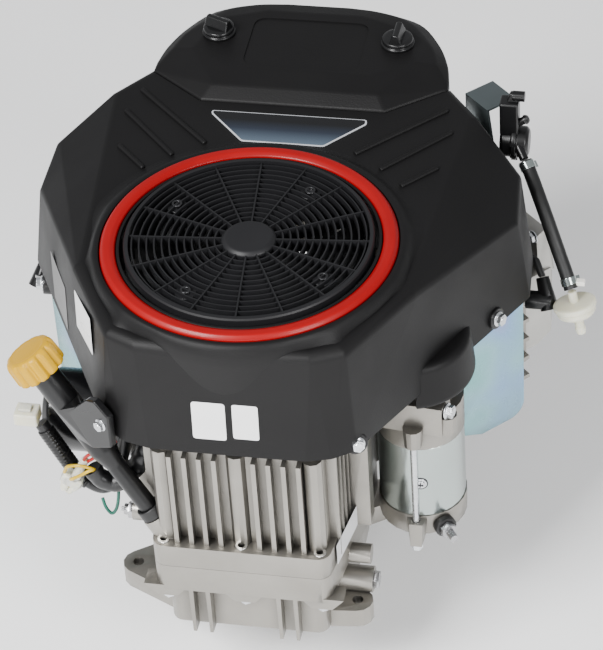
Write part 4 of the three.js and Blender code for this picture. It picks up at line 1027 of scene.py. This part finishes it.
def make_fuel_parts():
    """The fuel pump, the hose's clamps and the fuel filter, which rides on the hose."""
    x, y, z = PUMP
    profile = rounded([(0, -13), (12, -13), (14.2, -10.5), (14.5, -2.4), (17, -2.2), (17, 2.2), (14.5, 2.4),
                       (14.2, 10.5), (11, 13), (0, 13)], 1.1)
    drum = moved(lathe(profile, 96), PUMP, (1, 0, 0))
    crimp = []
    for a in (math.radians(k) for k in range(20, 380, 45)):
        tips = [(17.2, a - 0.09), (17.2, a + 0.09)]
        foot = [(x + dx, y + 15 * math.cos(a), z + 15 * math.sin(a)) for dx in CRIMP_SIDES]
        crimp.append(hull([(x + dx, y + r * math.cos(b), z + r * math.sin(b)) for dx in CRIMP_SIDES
                           for r, b in tips] + foot))
    neck = softened(slab((x - 13, x + 4), (y - 8, y + 8), (z + 10, z + 46)), 2.2)
    pulse = rod((x - 8, y - 2, z + 15), (x + 12, y - 2, z + 28), 4, 3.4)
    barb = rod((x + 9.4, y - 2, z + 26.3), (x + 11.4, y - 2, z + 27.6), 4.6, 3.8, 0.4)
    corners = [(-9, -4, 40), (3, -4, 40), (-9, 6, 40), (3, 6, 40),
               (-4, -1, 53), (3, -1, 53), (-4, 5, 53), (3, 5, 53)]
    ear = softened(hull([(x + dx, y + dy, z + dz) for dx, dy, dz in corners]), 1.4)
    pin = rod((x - 2, y + 2, z + 49), (x + 9, y + 2, z + 49), 4.8)
    nipple = rod((200, 216, 305), (206.8, 206, 297.6), 4.5, 4.1)
    pump = joined(drum, *crimp, neck, pulse, barb, ear, pin, nipple)
    solid("pump_body", pump, "engine", BLACK_SMOOTH, ("fuel_pump",))
    line = through(HOSE)
    clamp("hose_clamp_top", line[3], line[4] - line[3])
    clamp("hose_clamp_low", line[-4], line[-3] - line[-4])
    low = line[-4]
    tab = softened(slab((low.x + 6.5, low.x + 14.5), (low.y - 3, low.y + 3), (low.z - 2.4, low.z + 2.4)), 0.8, 2)
    solid("clamp_tab", tab, "engine", WHITE)
    profile = rounded([(0, 2.3), (4.2, 2.3), (4.2, 12.6), (17.6, 13.1), (19.5, 14), (19.5, 17.6), (18.2, 18.4),
                       (17.6, 23), (15.4, 25.8), (5.4, 26.2), (4.2, 27), (4.2, 38), (4.9, 40), (4, 45.5),
                       (0, 45.5)], 0.8)
    bowl = moved(lathe(profile, 96), HOSE[-1], FILTER_AXIS)
    return solid("filter_bowl", bowl, "engine", MILKY, ("fuel_filter",))


# ---- wiring ----


def evenly(line, step):
    """Points at equal steps along a line."""
    spots = [0.0]
    for a, b in zip(line, line[1:]):
        spots.append(spots[-1] + (b - a).length)
    count = max(2, round(spots[-1] / step))
    made = []
    k = 0
    for i in range(count + 1):
        d = spots[-1] * i / count
        while k < len(line) - 2 and spots[k + 1] < d:
            k += 1
        made.append(line[k].lerp(line[k + 1], (d - spots[k]) / (spots[k + 1] - spots[k])))
    return made


def swept(line, radius, sides=20):
    """A closed tube along a line; the radius is a function of the point's number."""
    bm = bmesh.new()
    side = (line[1] - line[0]).orthogonal().normalized()
    rows = []
    for i, p in enumerate(line):
        along = (line[min(i + 1, len(line) - 1)] - line[max(i - 1, 0)]).normalized()
        side = (side - along * side.dot(along)).normalized()
        other = along.cross(side)
        rows.append([bm.verts.new(p + (side * math.cos(a) + other * math.sin(a)) * radius(i))
                     for a in (2 * math.pi * k / sides for k in range(sides))])
    for low, high in zip(rows, rows[1:]):
        for k in range(sides):
            m = (k + 1) % sides
            bm.faces.new((low[k], low[m], high[m], high[k]))
    bm.faces.new(rows[0][::-1])
    bm.faces.new(rows[-1])
    return bm


def wire(name, points, material):
    """A thin single wire, made as a mesh."""
    line = evenly(through(points, 8), 1.5)
    solid(name, swept(line, lambda i: WIRE_R, 16), "engine", material, smooth=60)


def make_wiring():
    """The two connectors, the loom's sleeve, its taped bundle and the single wires."""
    body = softened(slab((-208, -187), (-66, -48), (179, 192)), 1.6)
    latch = softened(slab((-204, -193), (-61, -53), (191.5, 195)), 0.8, 2)
    main = solid("loom_connector", joined(body, latch), "engine", MILKY, ("connector_main",))
    hood = hull([(-166, -92, 141), (-166, -80, 141), (-160, -93, 152), (-160, -80, 152), (-150, -92, 131),
                 (-150, -80, 131), (-144, -93, 142), (-144, -80, 142)])
    softened(hood, 2.2)
    necks = [rod((-152, -88, 143), (-139, -91.5, 171), 4.6, 3.6, 1),
             rod((-158, -87, 146), (-164, -87, 128), 5.2, 3.2, 1.2),
             rod((-150, -86, 136), (-161, -84, 123), 5, 3.4, 1.2)]
    charge = solid("charge_connector", joined(hood, *necks), "engine", MILKY, ("connector_charge",))
    line = through(LOOM)
    sleeve = evenly(line[int(len(line) * 0.56):-2], 0.9)
    solid("loom_sleeve", swept(sleeve, lambda i: LOOM_R + (1.3, 1.6, 1.6, 1.3)[i % 4]), "engine", BLACK_SMOOTH,
          smooth=80)
    bundle = swept(evenly(through(BUNDLE, 8), 2.2), lambda i: 8.4 + 0.4 * math.sin(i * 1.1) + 0.3 * (i % 5 == 0))
    solid("taped_bundle", bundle, "engine", TAPE, smooth=70)
    wire("red_wire_upper", RED_UPPER, RED_WIRE)
    wire("red_wire_lower", RED_LOWER, RED_WIRE)
    wire("yellow_wire_upper", YELLOW_UPPER, YELLOW_WIRE)
    wire("yellow_wire_lower", YELLOW_LOWER, YELLOW_WIRE)
    return main, charge


# ---- stickers ----


def make_stickers():
    front = (0, -0.9976, 0.0692)
    sticker("front_sticker_left", (-13.5, -135.1, 271), (1, 0, 0), front, oblong(28.5, 39), STICKER, 3)
    sticker("front_sticker_right", (17.6, -135, 272.5), (1, 0, 0), front, oblong(22, 36), STICKER, 2.4)
    slope = (-0.887, -0.459, 0.04)
    sticker("slope_film", (-178.3, 19.3, 264.7), (0.46, -0.888, 0), slope,
            [(-26, 26), (26, 24), (25, -25.5), (-23, -25.5)], FILM, 2)
    sticker("slope_sticker", (-133.3, -64.2, 305.9), (0.46, -0.888, 0), slope,
            [(-28.5, 13.3), (27.2, 25.8), (29.1, -12.7), (-27.9, -26.4)], STICKER, 1.5)
    sticker("data_sticker", (86.2, -82, 97), (0.171, 0.985, 0), (0.985, -0.171, 0), oblong(52, 23), SILVER_STICKER)


# ---- building it all ----

make_camera()
fuel_filter = make_fuel_parts()
loom_connectors = make_wiring()
cord("fuel_line", HOSE, HOSE_R, RUBBER, "fuel_hose")
cord("loom", LOOM, LOOM_R, TAPE, "wiring_loom")
cord("ground_lead", GROUND, GROUND_R, GREEN, "ground_wire")
make_housing()
make_lip()
make_housing_details()
make_ring()
make_duct_wall()
make_screen()
make_cover()
make_knob("right", KNOB_X, 88)
make_knob("left", -KNOB_X, -24)
make_refined()
make_bolts()
make_starter()
make_oil_filter()
make_tube()
make_cap()
make_stickers()
make_stage()
